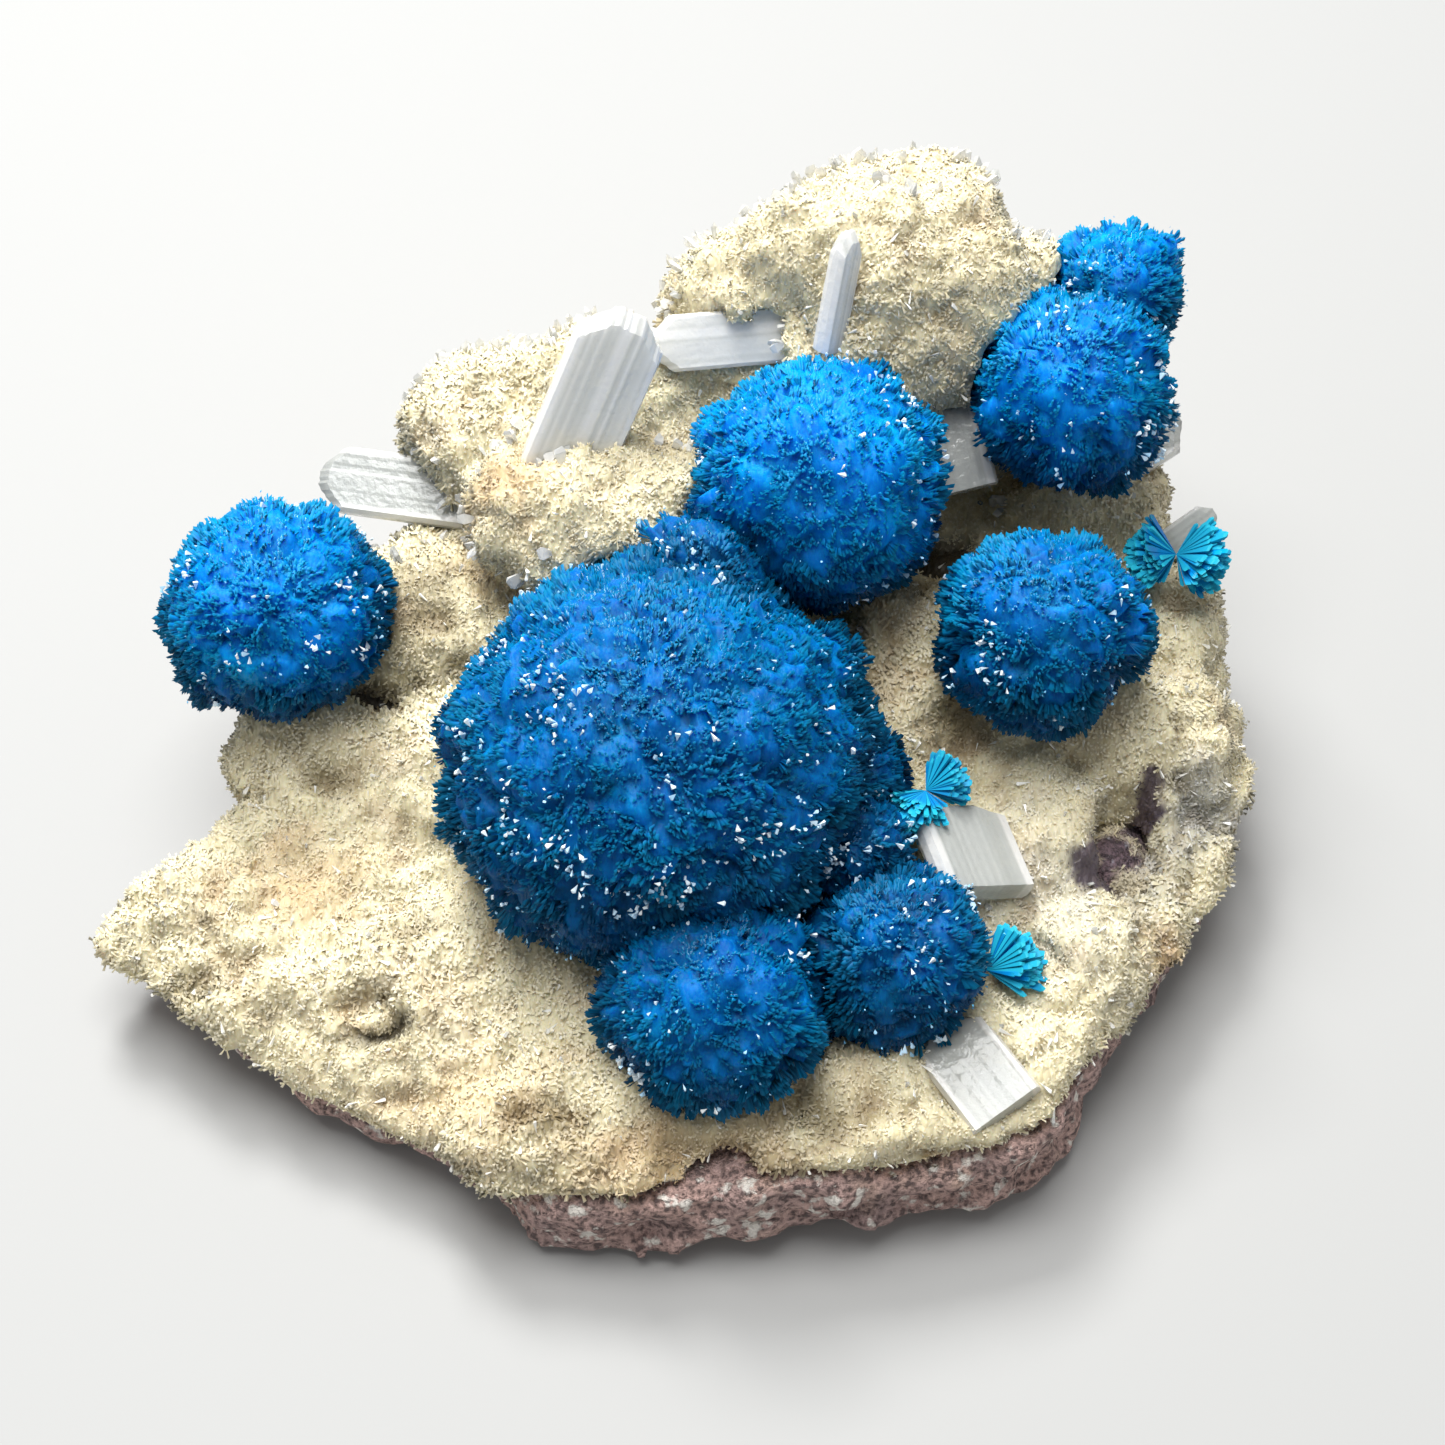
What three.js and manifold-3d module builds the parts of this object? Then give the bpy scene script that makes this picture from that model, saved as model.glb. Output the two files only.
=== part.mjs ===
// Cavansite on stilbite: blue crystal balls on a cream crust of tiny crystals over basalt.
// Millimetres, +Z up, +X to the right of the viewer, +Y away from the viewer.

import * as THREE from 'three';
import { ConvexGeometry } from 'three/addons/geometries/ConvexGeometry.js';
import { SimplifyModifier } from 'three/addons/modifiers/SimplifyModifier.js';
import { mergeVertices } from 'three/addons/utils/BufferGeometryUtils.js';
import Module from 'manifold-3d';

const wasm = await Module();
wasm.setup();

// Driving dimensions

const GAP = 0.3; // clear space between neighbouring pieces
const CHIP_DEPTH = 0.9; // how much the broken sides of the basalt vary
const SEAT_GAP = 0.75; // clear space around the blue balls and fans where they sit in the crust
const EDGE_POINTS = 42; // points around the specimen's outline
const MIDDLE = new THREE.Vector2(0, -1); // the point that the outline's rings shrink towards
const UP = new THREE.Vector3(0, 0, 1);

// The broken edge of the basalt in plan, with the heights of its lower and upper lips and
// how far the crust's rim stands out past it.
const BROKEN_EDGE = [
  { x: -39, y: -12.6, low: 3.8, high: 5.4, rim: 0.6 },
  { x: -33, y: -17, low: 2.2, high: 4.6, rim: 0.5 },
  { x: -27, y: -21.4, low: 1.6, high: 4, rim: 0.3 },
  { x: -21, y: -25.2, low: 1.4, high: 4, rim: 0.3 },
  { x: -15.6, y: -27.4, low: 1.4, high: 4.2, rim: 0.3 },
  { x: -12, y: -30.8, low: 0.9, high: 5.4, rim: -0.4 },
  { x: -7, y: -32.2, low: 0.8, high: 6.2, rim: -0.9 },
  { x: -1.5, y: -31.6, low: 2, high: 7, rim: -0.9 },
  { x: 4.5, y: -31, low: 2.4, high: 7.4, rim: -0.9 },
  { x: 10, y: -30.4, low: 2.4, high: 7.2, rim: -0.9 },
  { x: 15, y: -29.4, low: 2, high: 7.4, rim: -0.9 },
  { x: 19.8, y: -27.4, low: 1.6, high: 8, rim: -1.1 },
  { x: 21.8, y: -24, low: 1.5, high: 8, rim: -0.8 },
  { x: 23.6, y: -19.6, low: 1.5, high: 6.4, rim: 0.2 },
  { x: 27.4, y: -15, low: 1.5, high: 5.8, rim: 0.3 },
  { x: 31, y: -9.5, low: 1.5, high: 6, rim: 0.3 },
  { x: 33.4, y: -3.5, low: 1.5, high: 6.6, rim: 0.3 },
  { x: 33.2, y: 3, low: 1.5, high: 8, rim: 0.3 },
  { x: 31.6, y: 10, low: 1.6, high: 8.6, rim: 0.3 },
  { x: 29, y: 17, low: 1.8, high: 9, rim: 0.3 },
  { x: 24, y: 23.5, low: 1.8, high: 9.4, rim: 0.3 },
  { x: 16, y: 28.4, low: 2, high: 10, rim: 0.3 },
  { x: 7, y: 30.2, low: 2, high: 10, rim: 0.3 },
  { x: -3, y: 28.6, low: 1.8, high: 9.4, rim: 0.3 },
  { x: -12, y: 25.4, low: 1.8, high: 9, rim: 0.3 },
  { x: -19.6, y: 20, low: 1.8, high: 8.4, rim: 0.3 },
  { x: -24.4, y: 13.4, low: 1.8, high: 7.8, rim: 0.3 },
  { x: -27.4, y: 7, low: 1.8, high: 7.2, rim: 0.3 },
  { x: -30.4, y: 1, low: 1.8, high: 6.8, rim: 0.3 },
  { x: -31.6, y: -4.4, low: 2, high: 6.2, rim: 0.3 },
  { x: -35.6, y: -8.8, low: 2.8, high: 5.8, rim: 0.4 },
];

// Mounds of the crust: centre, half sizes and how finely each is faceted.
const MOUNDS = [
  { name: 'summit', at: [11, 23.6, 25], size: [9.6, 8.4, 10.8], detail: 3 },
  { name: 'summit left', at: [5.8, 23.4, 28.6], size: [5.4, 4.6, 5.8], detail: 2 },
  { name: 'summit right', at: [17.6, 22.8, 24.4], size: [5.8, 5.6, 7.4], detail: 2 },
  { name: 'left peak', at: [1.8, 23.6, 23.6], size: [6, 5.8, 7.6], detail: 2 },
  { name: 'tall blade mound', at: [-7.8, 18.4, 20.8], size: [6.6, 6, 6.6], detail: 2 },
  { name: 'back left lobe', at: [-14, 17.8, 19], size: [6.8, 6.4, 6.4], detail: 2 },
  { name: 'front left lobe', at: [-8.4, 10.8, 19.6], size: [7.8, 6.8, 6.2], detail: 3 },
  { name: 'saddle', at: [-0.2, 15.8, 17.2], size: [6, 7, 5.8], detail: 1 },
  { name: 'recess', at: [-17.8, 8.4, 12], size: [6.4, 6.8, 6], detail: 2 },
  { name: 'shoulder', at: [-25, -0.6, 8.4], size: [6.4, 6, 4.6], detail: 2 },
  { name: 'shoulder inner', at: [-17.6, -2, 9.6], size: [6.6, 6.8, 4.2], detail: 2 },
  { name: 'left ridge', at: [-30.8, -10.8, 7.2], size: [6.2, 3.4, 2.4], detail: 1 },
  { name: 'left lower ridge', at: [-26.4, -16.4, 5.6], size: [6.6, 3.6, 2.8], detail: 1 },
  { name: 'middle ridge', at: [-17.4, -14.6, 7.4], size: [5.6, 7.4, 3.2], detail: 1 },
  { name: 'front left shelf', at: [-10.8, -26.4, 6], size: [5.6, 4.2, 3.2], detail: 2 },
  { name: 'front shelf', at: [0.6, -26, 7.4], size: [6, 3.8, 2.6], detail: 1 },
  { name: 'front right shelf', at: [9.4, -26, 7.2], size: [5.6, 3.8, 2.8], detail: 1 },
  { name: 'front corner', at: [17, -22.6, 7.4], size: [4.6, 4.2, 3], detail: 1 },
  { name: 'lower flank', at: [21, -14.6, 7.8], size: [5.6, 5.8, 3.8], detail: 2 },
  { name: 'middle flank', at: [19.2, -7.4, 9.6], size: [5.8, 6.6, 4], detail: 2 },
  { name: 'right flank', at: [27, 0.6, 9.4], size: [6, 6.4, 4.8], detail: 2 },
  { name: 'right crest', at: [28.8, 8.6, 10.4], size: [4.4, 5.6, 5.2], detail: 2 },
  { name: 'ball seat', at: [20, 2, 12.4], size: [5, 5, 3.4], detail: 1 },
  { name: 'middle ridge right', at: [12, 4.4, 12], size: [4.8, 8, 4.6], detail: 2 },
  { name: 'back right shoulder', at: [24.2, 17, 12.8], size: [6.2, 5.8, 5.6], detail: 2 },
  { name: 'back wall left', at: [-11, 20, 12], size: [9.6, 7, 7.6], detail: 2 },
  { name: 'back wall', at: [2, 24, 12.6], size: [9.4, 6.6, 8.6], detail: 2 },
  { name: 'back wall right', at: [13, 25, 13.4], size: [10.4, 6.4, 8.4], detail: 2 },
];

// Where the crust is broken away or sunken: centre and half sizes.
const PITS = [
  { name: 'small pit', at: [-21.6, -18.8, 9.2], size: [2, 1.3, 2.2], detail: 1 },
  { name: 'front hollow', at: [-1.2, -29.8, 9.6], size: [4.4, 2.8, 2.4], detail: 1 },
  { name: 'bare patch', at: [25.4, -8.4, 10.6], size: [2.9, 4.2, 4], detail: 1 },
];

// The knob of basalt that shows in the bare patch.
const KNOB = { at: [24.6, -8, 5.4], size: [4, 5, 3.4], detail: 1 };

// Cavansite balls: centre, radius, flattening, sheaf lobes, and in radii below the centre the
// line where the ball sinks into the crust and the flat of its underside.
const CLUSTER = [
  {
    at: [-3.9, -6.6, 16.6], radius: 13.3, flatten: 0.9,
    detail: 6, lobes: 62, sink: 0.42, sit: 0.5, seed: 11,
  },
  {
    at: [-1.2, 2.6, 21.6], radius: 5, flatten: 1,
    detail: 2, lobes: 14, sink: 0.8, sit: 0.9, seed: 12,
  },
  {
    at: [7.8, -6.4, 15.6], radius: 3.9, flatten: 1,
    detail: 2, lobes: 12, sink: 0.7, sit: 0.8, seed: 13,
  },
  {
    at: [7.4, -11.4, 14.2], radius: 4, flatten: 1,
    detail: 2, lobes: 12, sink: 0.7, sit: 0.8, seed: 16,
  },
  {
    at: [-0.4, -20.7, 12.4], radius: 7, flatten: 0.95,
    detail: 3, lobes: 26, sink: 0.46, sit: 0.6, seed: 14,
  },
  {
    at: [10, -17.8, 12.4], radius: 5.9, flatten: 1,
    detail: 3, lobes: 22, sink: 0.46, sit: 0.65, seed: 15,
  },
];
const LEFT_BALL = {
  at: [-28, 4.2, 18], radius: 7.3, flatten: 0.92, detail: 4, lobes: 30, sink: 0.84, sit: 0.86, seed: 21,
};
const UPPER_BALL = {
  at: [5.8, 9.2, 24.2], radius: 8.1, flatten: 0.95, detail: 4, lobes: 30, sink: 0.84, sit: 0.86, seed: 22,
};
const DOUBLE_BALL = [
  {
    at: [22, 16.4, 25.4], radius: 6.7, flatten: 0.94,
    detail: 4, lobes: 28, sink: 0.95, sit: 0.9, seed: 23,
  },
  {
    at: [24.9, 22.2, 28.6], radius: 4.6, flatten: 1,
    detail: 2, lobes: 16, sink: 0.95, sit: 0.9, seed: 24,
  },
];
const RIGHT_BALL = {
  at: [19.8, 1.2, 19.6], radius: 6.4, flatten: 1, detail: 4, lobes: 28, sink: 0.8, sit: 0.85, seed: 25,
};

// Cavansite fans: hub, and the direction, length and spread of each wing.
const RIGHT_FAN = {
  hub: [28.9, 8.6, 18.4],
  wings: [
    { along: [-1, 0, 0.1], length: 3.5, spread: 0.75 },
    { along: [1, -0.3, 0.1], length: 3.5, spread: 0.75 },
  ],
};
const MIDDLE_FAN = {
  hub: [12.4, -7.6, 15],
  wings: [
    { along: [-0.4, -1, 0.1], length: 3.4, spread: 0.6 },
    { along: [1, 0.5, 0.2], length: 2.8, spread: 0.7 },
  ],
};
const FRONT_FAN = {
  hub: [15.8, -17.9, 10.8],
  wings: [{ along: [1, 0.35, 0.3], length: 3.8, spread: 0.7 }],
};

// Clear stilbite blades: foot, tip, the way the broad face looks, width and thickness.
const BLADES = [
  { name: 'stilbite_blade_left', foot: [-16.5, 13.6, 18.2], tip: [-26.2, 15.2, 18.6],
    face: [0.1, -0.5, 0.9], width: 4.4, thickness: 1.6, chisel: 1.6 },
  { name: 'stilbite_blade_tall', foot: [-10.4, 11, 23], tip: [-5.5, 15.4, 33],
    face: [0.1, -0.9, 0.42], width: 5.6, thickness: 1.9, chisel: 0.8 },
  { name: 'stilbite_blade_flat', foot: [5.4, 19.8, 27.2], tip: [-4.8, 18.4, 27.2],
    face: [0, -0.7, 0.7], width: 3.6, thickness: 1.2, chisel: 1 },
  { name: 'stilbite_blade_slim', foot: [6.4, 15.6, 28.4], tip: [7.8, 19, 36.4],
    face: [0.5, -0.9, 0.2], width: 1.8, thickness: 1.1, chisel: 0.9 },
  { name: 'stilbite_blade_middle', foot: [11.4, 14.8, 21.6], tip: [19, 17.8, 24],
    face: [-0.1, -0.6, 0.8], width: 8, thickness: 1.4, chisel: 0.8 },
  { name: 'stilbite_blade_back_right', foot: [23, 17, 16.4], tip: [30, 20.4, 19.2],
    face: [-0.2, -0.6, 0.8], width: 4.8, thickness: 1.5, chisel: 1.4 },
  { name: 'stilbite_blade_side', foot: [16, -9, 13], tip: [13.7, -13.4, 14.2],
    face: [-0.1, -0.6, 0.8], width: 4.8, thickness: 1.4, chisel: 0.8 },
  { name: 'stilbite_blade_front', foot: [12.4, -20.4, 9.8], tip: [16.6, -26.8, 9.4],
    face: [-0.1, -0.3, 0.95], width: 4.8, thickness: 1.4, chisel: 1.2 },
  { name: 'stilbite_blade_tip', foot: [28, 11.4, 15], tip: [32, 13, 17.6],
    face: [-0.2, -0.7, 0.7], width: 2, thickness: 1, chisel: 0.7 },
];

const ALL_BALLS = [...CLUSTER, ...DOUBLE_BALL, LEFT_BALL, UPPER_BALL, RIGHT_BALL];
const ALL_FANS = [RIGHT_FAN, MIDDLE_FAN, FRONT_FAN];

const CRUST_CORNERS = 1330; // corners kept on the crust's facets
const CLUSTER_CORNERS = 850; // corners kept on the joined balls
const TIP_TRIES = 110; // crystal tips tried on the crust; those in the way of a neighbour drop out
const TIP_CLEARANCE = 1.6; // crystal tips keep this far from balls, blades and pits
const LONGEST_TIP = 1.08; // reach of a ball's longest crystal tips, in radii
const BURIED_RADIUS = 0.95; // reach of a ball where it sinks into the crust, in radii
const SPACE_DETAIL_SHARE = 0.7; // how finely the space around a ball follows it

// Seeded random numbers and noise

function randomSource(seed) {
  let state = seed;
  return () => {
    state = (state + 0x6d2b79f5) | 0;
    let mixed = Math.imul(state ^ (state >>> 15), 1 | state);
    mixed = (mixed + Math.imul(mixed ^ (mixed >>> 7), 61 | mixed)) ^ mixed;
    return ((mixed ^ (mixed >>> 14)) >>> 0) / 4294967296;
  };
}

function latticeValue(i, j, k) {
  let mixed = Math.imul(i, 374761393) + Math.imul(j, 668265263) + Math.imul(k, 2147483629);
  mixed = Math.imul(mixed ^ (mixed >>> 13), 1274126177);
  return ((mixed ^ (mixed >>> 16)) >>> 0) / 4294967296 * 2 - 1;
}

// Smooth noise from -1 to 1, with one swell for each unit of distance.
function noise(x, y, z) {
  const base = [Math.floor(x), Math.floor(y), Math.floor(z)];
  const share = [x - base[0], y - base[1], z - base[2]].map((t) => t * t * (3 - 2 * t));
  let sum = 0;
  for (let corner = 0; corner < 8; corner += 1) {
    const step = [corner & 1, (corner >> 1) & 1, (corner >> 2) & 1];
    const weight = step.reduce((w, s, axis) => w * (s ? share[axis] : 1 - share[axis]), 1);
    sum += weight * latticeValue(base[0] + step[0], base[1] + step[1], base[2] + step[2]);
  }
  return sum;
}

function noiseAt(point, swell) {
  return noise(point.x / swell, point.y / swell, point.z / swell);
}

// Solids from meshes and back

function solidFrom(geometry) {
  geometry.deleteAttribute('normal');
  geometry.deleteAttribute('uv');
  const merged = mergeVertices(geometry, 1e-4);
  const vertProperties = new Float32Array(merged.attributes.position.array);
  const triVerts = new Uint32Array(merged.index.array);
  return new wasm.Manifold(new wasm.Mesh({ numProp: 3, vertProperties, triVerts }));
}

function geometryFrom(solid) {
  const mesh = solid.getMesh();
  const geometry = new THREE.BufferGeometry();
  geometry.setAttribute('position', new THREE.BufferAttribute(mesh.vertProperties, 3));
  geometry.setIndex(new THREE.BufferAttribute(mesh.triVerts, 1));
  return geometry;
}

// The same solid with fewer corners, left out where its facets are nearly flat.
async function simpler(solid, corners) {
  const geometry = geometryFrom(solid);
  const spare = geometry.attributes.position.count - corners;
  return solidFrom(await new SimplifyModifier().modify(geometry, spare));
}

function joined(solids) {
  return solids.reduce((whole, solid) => whole.add(solid));
}

function cutBy(solid, cutters) {
  return cutters.reduce((rest, cutter) => rest.subtract(cutter), solid);
}

// The matrix and the crust's bed: rings of points around the outline, closed by a middle point

function edgeSamples() {
  const curve = (heightOf) => new THREE.CatmullRomCurve3(
    BROKEN_EDGE.map((p) => new THREE.Vector3(p.x, p.y, heightOf(p))),
    true,
    'centripetal',
  );
  const [low, high, rim] = [(p) => p.low, (p) => p.high, (p) => p.rim].map(curve);
  return Array.from({ length: EDGE_POINTS }, (_, index) => {
    const [lowPoint, highPoint, rimPoint] = [low, high, rim].map(
      (one) => one.getPoint(index / EDGE_POINTS),
    );
    return {
      x: highPoint.x, y: highPoint.y, low: lowPoint.z, high: highPoint.z, rim: rimPoint.z,
    };
  });
}

const EDGE = edgeSamples();

// A ring at a share of the way out from the middle, moved outwards, with its own heights.
function ring(share, outwards, heightOf) {
  return EDGE.map((edge) => {
    const reach = new THREE.Vector2(edge.x - MIDDLE.x, edge.y - MIDDLE.y);
    const length = reach.length() * share + outwards(edge);
    reach.setLength(length);
    const x = MIDDLE.x + reach.x;
    const y = MIDDLE.y + reach.y;
    return new THREE.Vector3(x, y, heightOf(x, y, edge));
  });
}

function stackedRings(rings, lowMiddle, highMiddle) {
  const count = rings[0].length;
  const points = [...rings.flat(), lowMiddle, highMiddle];
  const triangles = [];
  rings.forEach((_, level) => {
    for (let i = 0; i < count; i += 1) {
      const next = (i + 1) % count;
      const a = level * count + i;
      const b = level * count + next;
      if (level === 0) {
        triangles.push(points.length - 2, b, a);
      }
      if (level < rings.length - 1) {
        triangles.push(a, b, b + count, a, b + count, a + count);
      } else {
        triangles.push(a, b, points.length - 1);
      }
    }
  });
  const geometry = new THREE.BufferGeometry().setFromPoints(points);
  geometry.setIndex(triangles);
  return geometry;
}

// Height of the basalt's upper face, under the crust.
function matrixTop(x, y) {
  const rise = THREE.MathUtils.smoothstep(y, -26, 16);
  return 6.6 + 3.4 * rise + 0.5 * noise(x / 5, y / 5, 3);
}

function matrixSolid(grow) {
  const chip = (seed) => (edge) => grow + CHIP_DEPTH * (noise(edge.x / 3, edge.y / 3, seed) - 0.6);
  const between = (share) => (x, y, edge) => edge.low + share * (edge.high - edge.low);
  const rings = [
    ring(0.88, chip(3), () => -grow),
    ring(1.005, chip(8), (x, y, edge) => edge.low - grow),
    ring(0.99, chip(13), (x, y, edge) => between(0.35)(x, y, edge) - grow),
    ring(1.01, chip(18), between(0.55)),
    ring(0.985, () => grow, (x, y, edge) => edge.high + grow),
    ring(0.8, () => grow, (x, y) => matrixTop(x, y) + grow),
    ring(0.4, () => 0, (x, y) => matrixTop(x, y) + grow),
  ];
  const low = new THREE.Vector3(MIDDLE.x, MIDDLE.y, -grow);
  const high = new THREE.Vector3(MIDDLE.x, MIDDLE.y, matrixTop(MIDDLE.x, MIDDLE.y) + grow);
  return solidFrom(stackedRings(rings, low, high)).add(mound(KNOB, grow));
}

// Height of the crust between its mounds.
function crustTop(x, y) {
  const rise = THREE.MathUtils.smoothstep(y, -32, 12);
  const fall = THREE.MathUtils.smoothstep(Math.abs(x), 15, 38);
  return 7.8 + 6 * rise - 2.6 * fall + 0.9 * noise(x / 4.5, y / 4.5, 9) + 0.4 * noise(x / 2, y / 2, 4);
}

function crustBed() {
  const wave = (x, y) => 0.5 * noise(x / 3, y / 3, 21);
  const rings = [
    ring(0.8, () => 0, (x, y, edge) => edge.high - 0.4),
    ring(0.985, (edge) => edge.rim, (x, y, edge) => edge.high + 0.1),
    ring(1, (edge) => edge.rim, (x, y, edge) => edge.high + 1 + wave(x, y)),
    ring(0.96, (edge) => edge.rim, (x, y, edge) => edge.high + 2.2 + wave(x, y)),
    ring(0.84, () => 0, crustTop),
    ring(0.66, () => 0, crustTop),
    ring(0.42, () => 0, crustTop),
  ];
  const low = new THREE.Vector3(MIDDLE.x, MIDDLE.y, 4);
  const high = new THREE.Vector3(MIDDLE.x, MIDDLE.y, crustTop(MIDDLE.x, MIDDLE.y));
  return solidFrom(stackedRings(rings, low, high));
}

// Mounds: ellipsoids with a lumpy surface

function mound({ at, size, detail }, grow) {
  const geometry = new THREE.IcosahedronGeometry(1, detail);
  const position = geometry.attributes.position;
  const point = new THREE.Vector3();
  const centre = new THREE.Vector3(...at);
  for (let i = 0; i < position.count; i += 1) {
    point.fromBufferAttribute(position, i).multiply(new THREE.Vector3(...size).addScalar(grow));
    const place = point.clone().add(centre);
    point.multiplyScalar(1 + 0.1 * noiseAt(place, 3.2) + 0.04 * noiseAt(place, 1.3));
    point.add(centre);
    position.setXYZ(i, point.x, point.y, point.z);
  }
  return solidFrom(geometry);
}

// Cavansite balls: sheaf lobes all round, with jagged crystal tips. The space around a ball is
// smooth, coarser and clear of its longest tips.

function lobeDirections(count, random) {
  const golden = Math.PI * (3 - Math.sqrt(5));
  return Array.from({ length: count }, (_, index) => {
    const height = 1 - (2 * index + 1) / count;
    const around = index * golden + random() * 0.5;
    const across = Math.sqrt(1 - height * height);
    return new THREE.Vector3(across * Math.cos(around), across * Math.sin(around), height);
  });
}

// The part of a ball that sinks into the crust, under its sink line, is smooth.
function buriedSmooth({ sink }, direction, swell) {
  const buried = THREE.MathUtils.smoothstep(-direction.z, sink - 0.2, sink);
  return THREE.MathUtils.lerp(swell, BURIED_RADIUS, buried);
}

function ballSpace(one, gap) {
  const geometry = new THREE.IcosahedronGeometry(1, Math.ceil(one.detail * SPACE_DETAIL_SHARE));
  const position = geometry.attributes.position;
  const point = new THREE.Vector3();
  for (let i = 0; i < position.count; i += 1) {
    point.fromBufferAttribute(position, i);
    point.multiplyScalar(reachAt(one, point, buriedSmooth(one, point, LONGEST_TIP)) + gap);
    position.setXYZ(i, one.at[0] + point.x, one.at[1] + point.y, one.at[2] + point.z);
  }
  return solidFrom(geometry);
}

// Distance from a ball's centre to its surface for a swell in radii; the underside sits flat.
function reachAt({ radius, flatten, sit }, direction, swell) {
  const flat = Math.sqrt(1 - (1 - flatten * flatten) * direction.z * direction.z);
  const length = radius * flat * swell;
  return direction.z < 0 ? Math.min(length, (sit * radius) / -direction.z) : length;
}

function ball(one) {
  const { at, detail, lobes, seed } = one;
  const random = randomSource(seed);
  const centres = lobeDirections(lobes, random);
  const lobeAngle = 2 / Math.sqrt(lobes);
  const reach = centres.map(() => 0.95 + 0.1 * random());
  const geometry = new THREE.IcosahedronGeometry(1, detail);
  const position = geometry.attributes.position;
  const point = new THREE.Vector3();
  for (let i = 0; i < position.count; i += 1) {
    point.fromBufferAttribute(position, i);
    let swell = 0;
    centres.forEach((centre, index) => {
      const angle = point.angleTo(centre) / lobeAngle;
      swell = Math.max(swell, reach[index] * (1 - 0.2 * angle * angle));
    });
    const key = point.clone().multiplyScalar(97);
    const tip = latticeValue(Math.round(key.x), Math.round(key.y), Math.round(key.z) + seed);
    point.multiplyScalar(reachAt(one, point, buriedSmooth(one, point, swell + 0.045 * tip)));
    position.setXYZ(i, at[0] + point.x, at[1] + point.y, at[2] + point.z);
  }
  return solidFrom(geometry);
}

function balls(list) {
  return joined(list.map(ball));
}

function ballSpaces(list, gap) {
  return joined(list.map((one) => ballSpace(one, gap)));
}

// Cavansite fans: sheaves of blades that spread from a hub

function wing(hub, { along, length, spread }, grow) {
  const sides = 10;
  const axis = new THREE.Vector3(...along).normalize();
  const side = new THREE.Vector3().crossVectors(UP, axis).normalize();
  const rise = new THREE.Vector3().crossVectors(axis, side);
  const start = new THREE.Vector3(...hub).addScaledVector(axis, -0.25 - grow);
  const circle = (forward, radius, jagged) => Array.from({ length: sides }, (_, i) => {
    const turn = (2 * Math.PI * i) / sides;
    const jag = jagged && i % 2 ? 0.82 : 1;
    return start.clone()
      .addScaledVector(axis, forward * jag)
      .addScaledVector(side, radius * Math.cos(turn))
      .addScaledVector(rise, radius * 0.55 * Math.sin(turn));
  });
  const rings = [
    circle(0, 0.45 + grow, false),
    circle(length * 0.82 + 2 * grow, length * spread + grow, true),
    circle(length + 2 * grow, length * spread * 0.6 + grow, true),
  ];
  const end = start.clone().addScaledVector(axis, length * 1.04 + 2 * grow);
  return solidFrom(stackedRings(rings, start, end));
}

function fan({ hub, wings }, grow) {
  return joined(wings.map((one) => wing(hub, one, grow)));
}

// Stilbite blades: six-sided plates with bevelled edges and a chisel end

function bladeSolid({ foot, tip, face, width, thickness, chisel }, grow) {
  const start = new THREE.Vector3(...foot);
  const axis = new THREE.Vector3(...tip).sub(start);
  const length = axis.length() + grow;
  axis.normalize();
  const across = new THREE.Vector3().crossVectors(axis, new THREE.Vector3(...face)).normalize();
  const outwards = new THREE.Vector3().crossVectors(across, axis);
  const bevel = thickness * 0.45;
  const section = (forward, wide, thick) => [
    [-wide / 2, 0],
    [-wide / 2 + bevel, thick / 2],
    [wide / 2 - bevel, thick / 2],
    [wide / 2, 0],
    [wide / 2 - bevel, -thick / 2],
    [-wide / 2 + bevel, -thick / 2],
  ].map(([a, b]) => start.clone()
    .addScaledVector(axis, forward)
    .addScaledVector(across, a)
    .addScaledVector(outwards, b));
  const wide = width + 2 * grow;
  const thick = thickness + 2 * grow;
  return solidFrom(new ConvexGeometry([
    ...section(-grow, wide * 0.94, thick),
    ...section(length - chisel, wide, thick),
    ...section(length, wide * 0.66, thick * 0.5),
  ]));
}

// Crystal tips that stand out of the crust, clear of the blue balls and the blades

function crystalTip(root, axis, length, width, turn) {
  const side = new THREE.Vector3(Math.cos(turn), Math.sin(turn), 0.3).cross(axis).normalize();
  const flat = new THREE.Vector3().crossVectors(axis, side);
  const corner = (forward, a, b) => root.clone()
    .addScaledVector(axis, forward)
    .addScaledVector(side, a * width)
    .addScaledVector(flat, b * width);
  return solidFrom(new ConvexGeometry([
    corner(-0.8, 0.5, 0.25),
    corner(-0.8, -0.5, 0.25),
    corner(-0.8, -0.5, -0.25),
    corner(-0.8, 0.5, -0.25),
    corner(length, 0.35, 0),
    corner(length * 0.75, -0.5, 0),
  ]));
}

function isBuried(point, self) {
  return MOUNDS.some(({ at, size }, index) => {
    const offset = point.clone().sub(new THREE.Vector3(...at)).divide(new THREE.Vector3(...size));
    return index !== self && offset.length() < 1.04;
  });
}

function isCrowded(point) {
  const nearBall = ALL_BALLS.some(({ at, radius }) => (
    point.distanceTo(new THREE.Vector3(...at)) < radius * LONGEST_TIP + TIP_CLEARANCE
  ));
  const nearFan = ALL_FANS.some(({ hub }) => point.distanceTo(new THREE.Vector3(...hub)) < 5);
  const nearBlade = BLADES.some(({ foot, tip, width }) => {
    const line = new THREE.Line3(new THREE.Vector3(...foot), new THREE.Vector3(...tip));
    const nearest = line.closestPointToPoint(point, true, new THREE.Vector3());
    return nearest.distanceTo(point) < width / 2 + TIP_CLEARANCE;
  });
  const nearPit = PITS.some(({ at, size }) => (
    point.distanceTo(new THREE.Vector3(...at)) < Math.max(...size) + TIP_CLEARANCE
  ));
  return nearBall || nearFan || nearBlade || nearPit;
}

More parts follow.
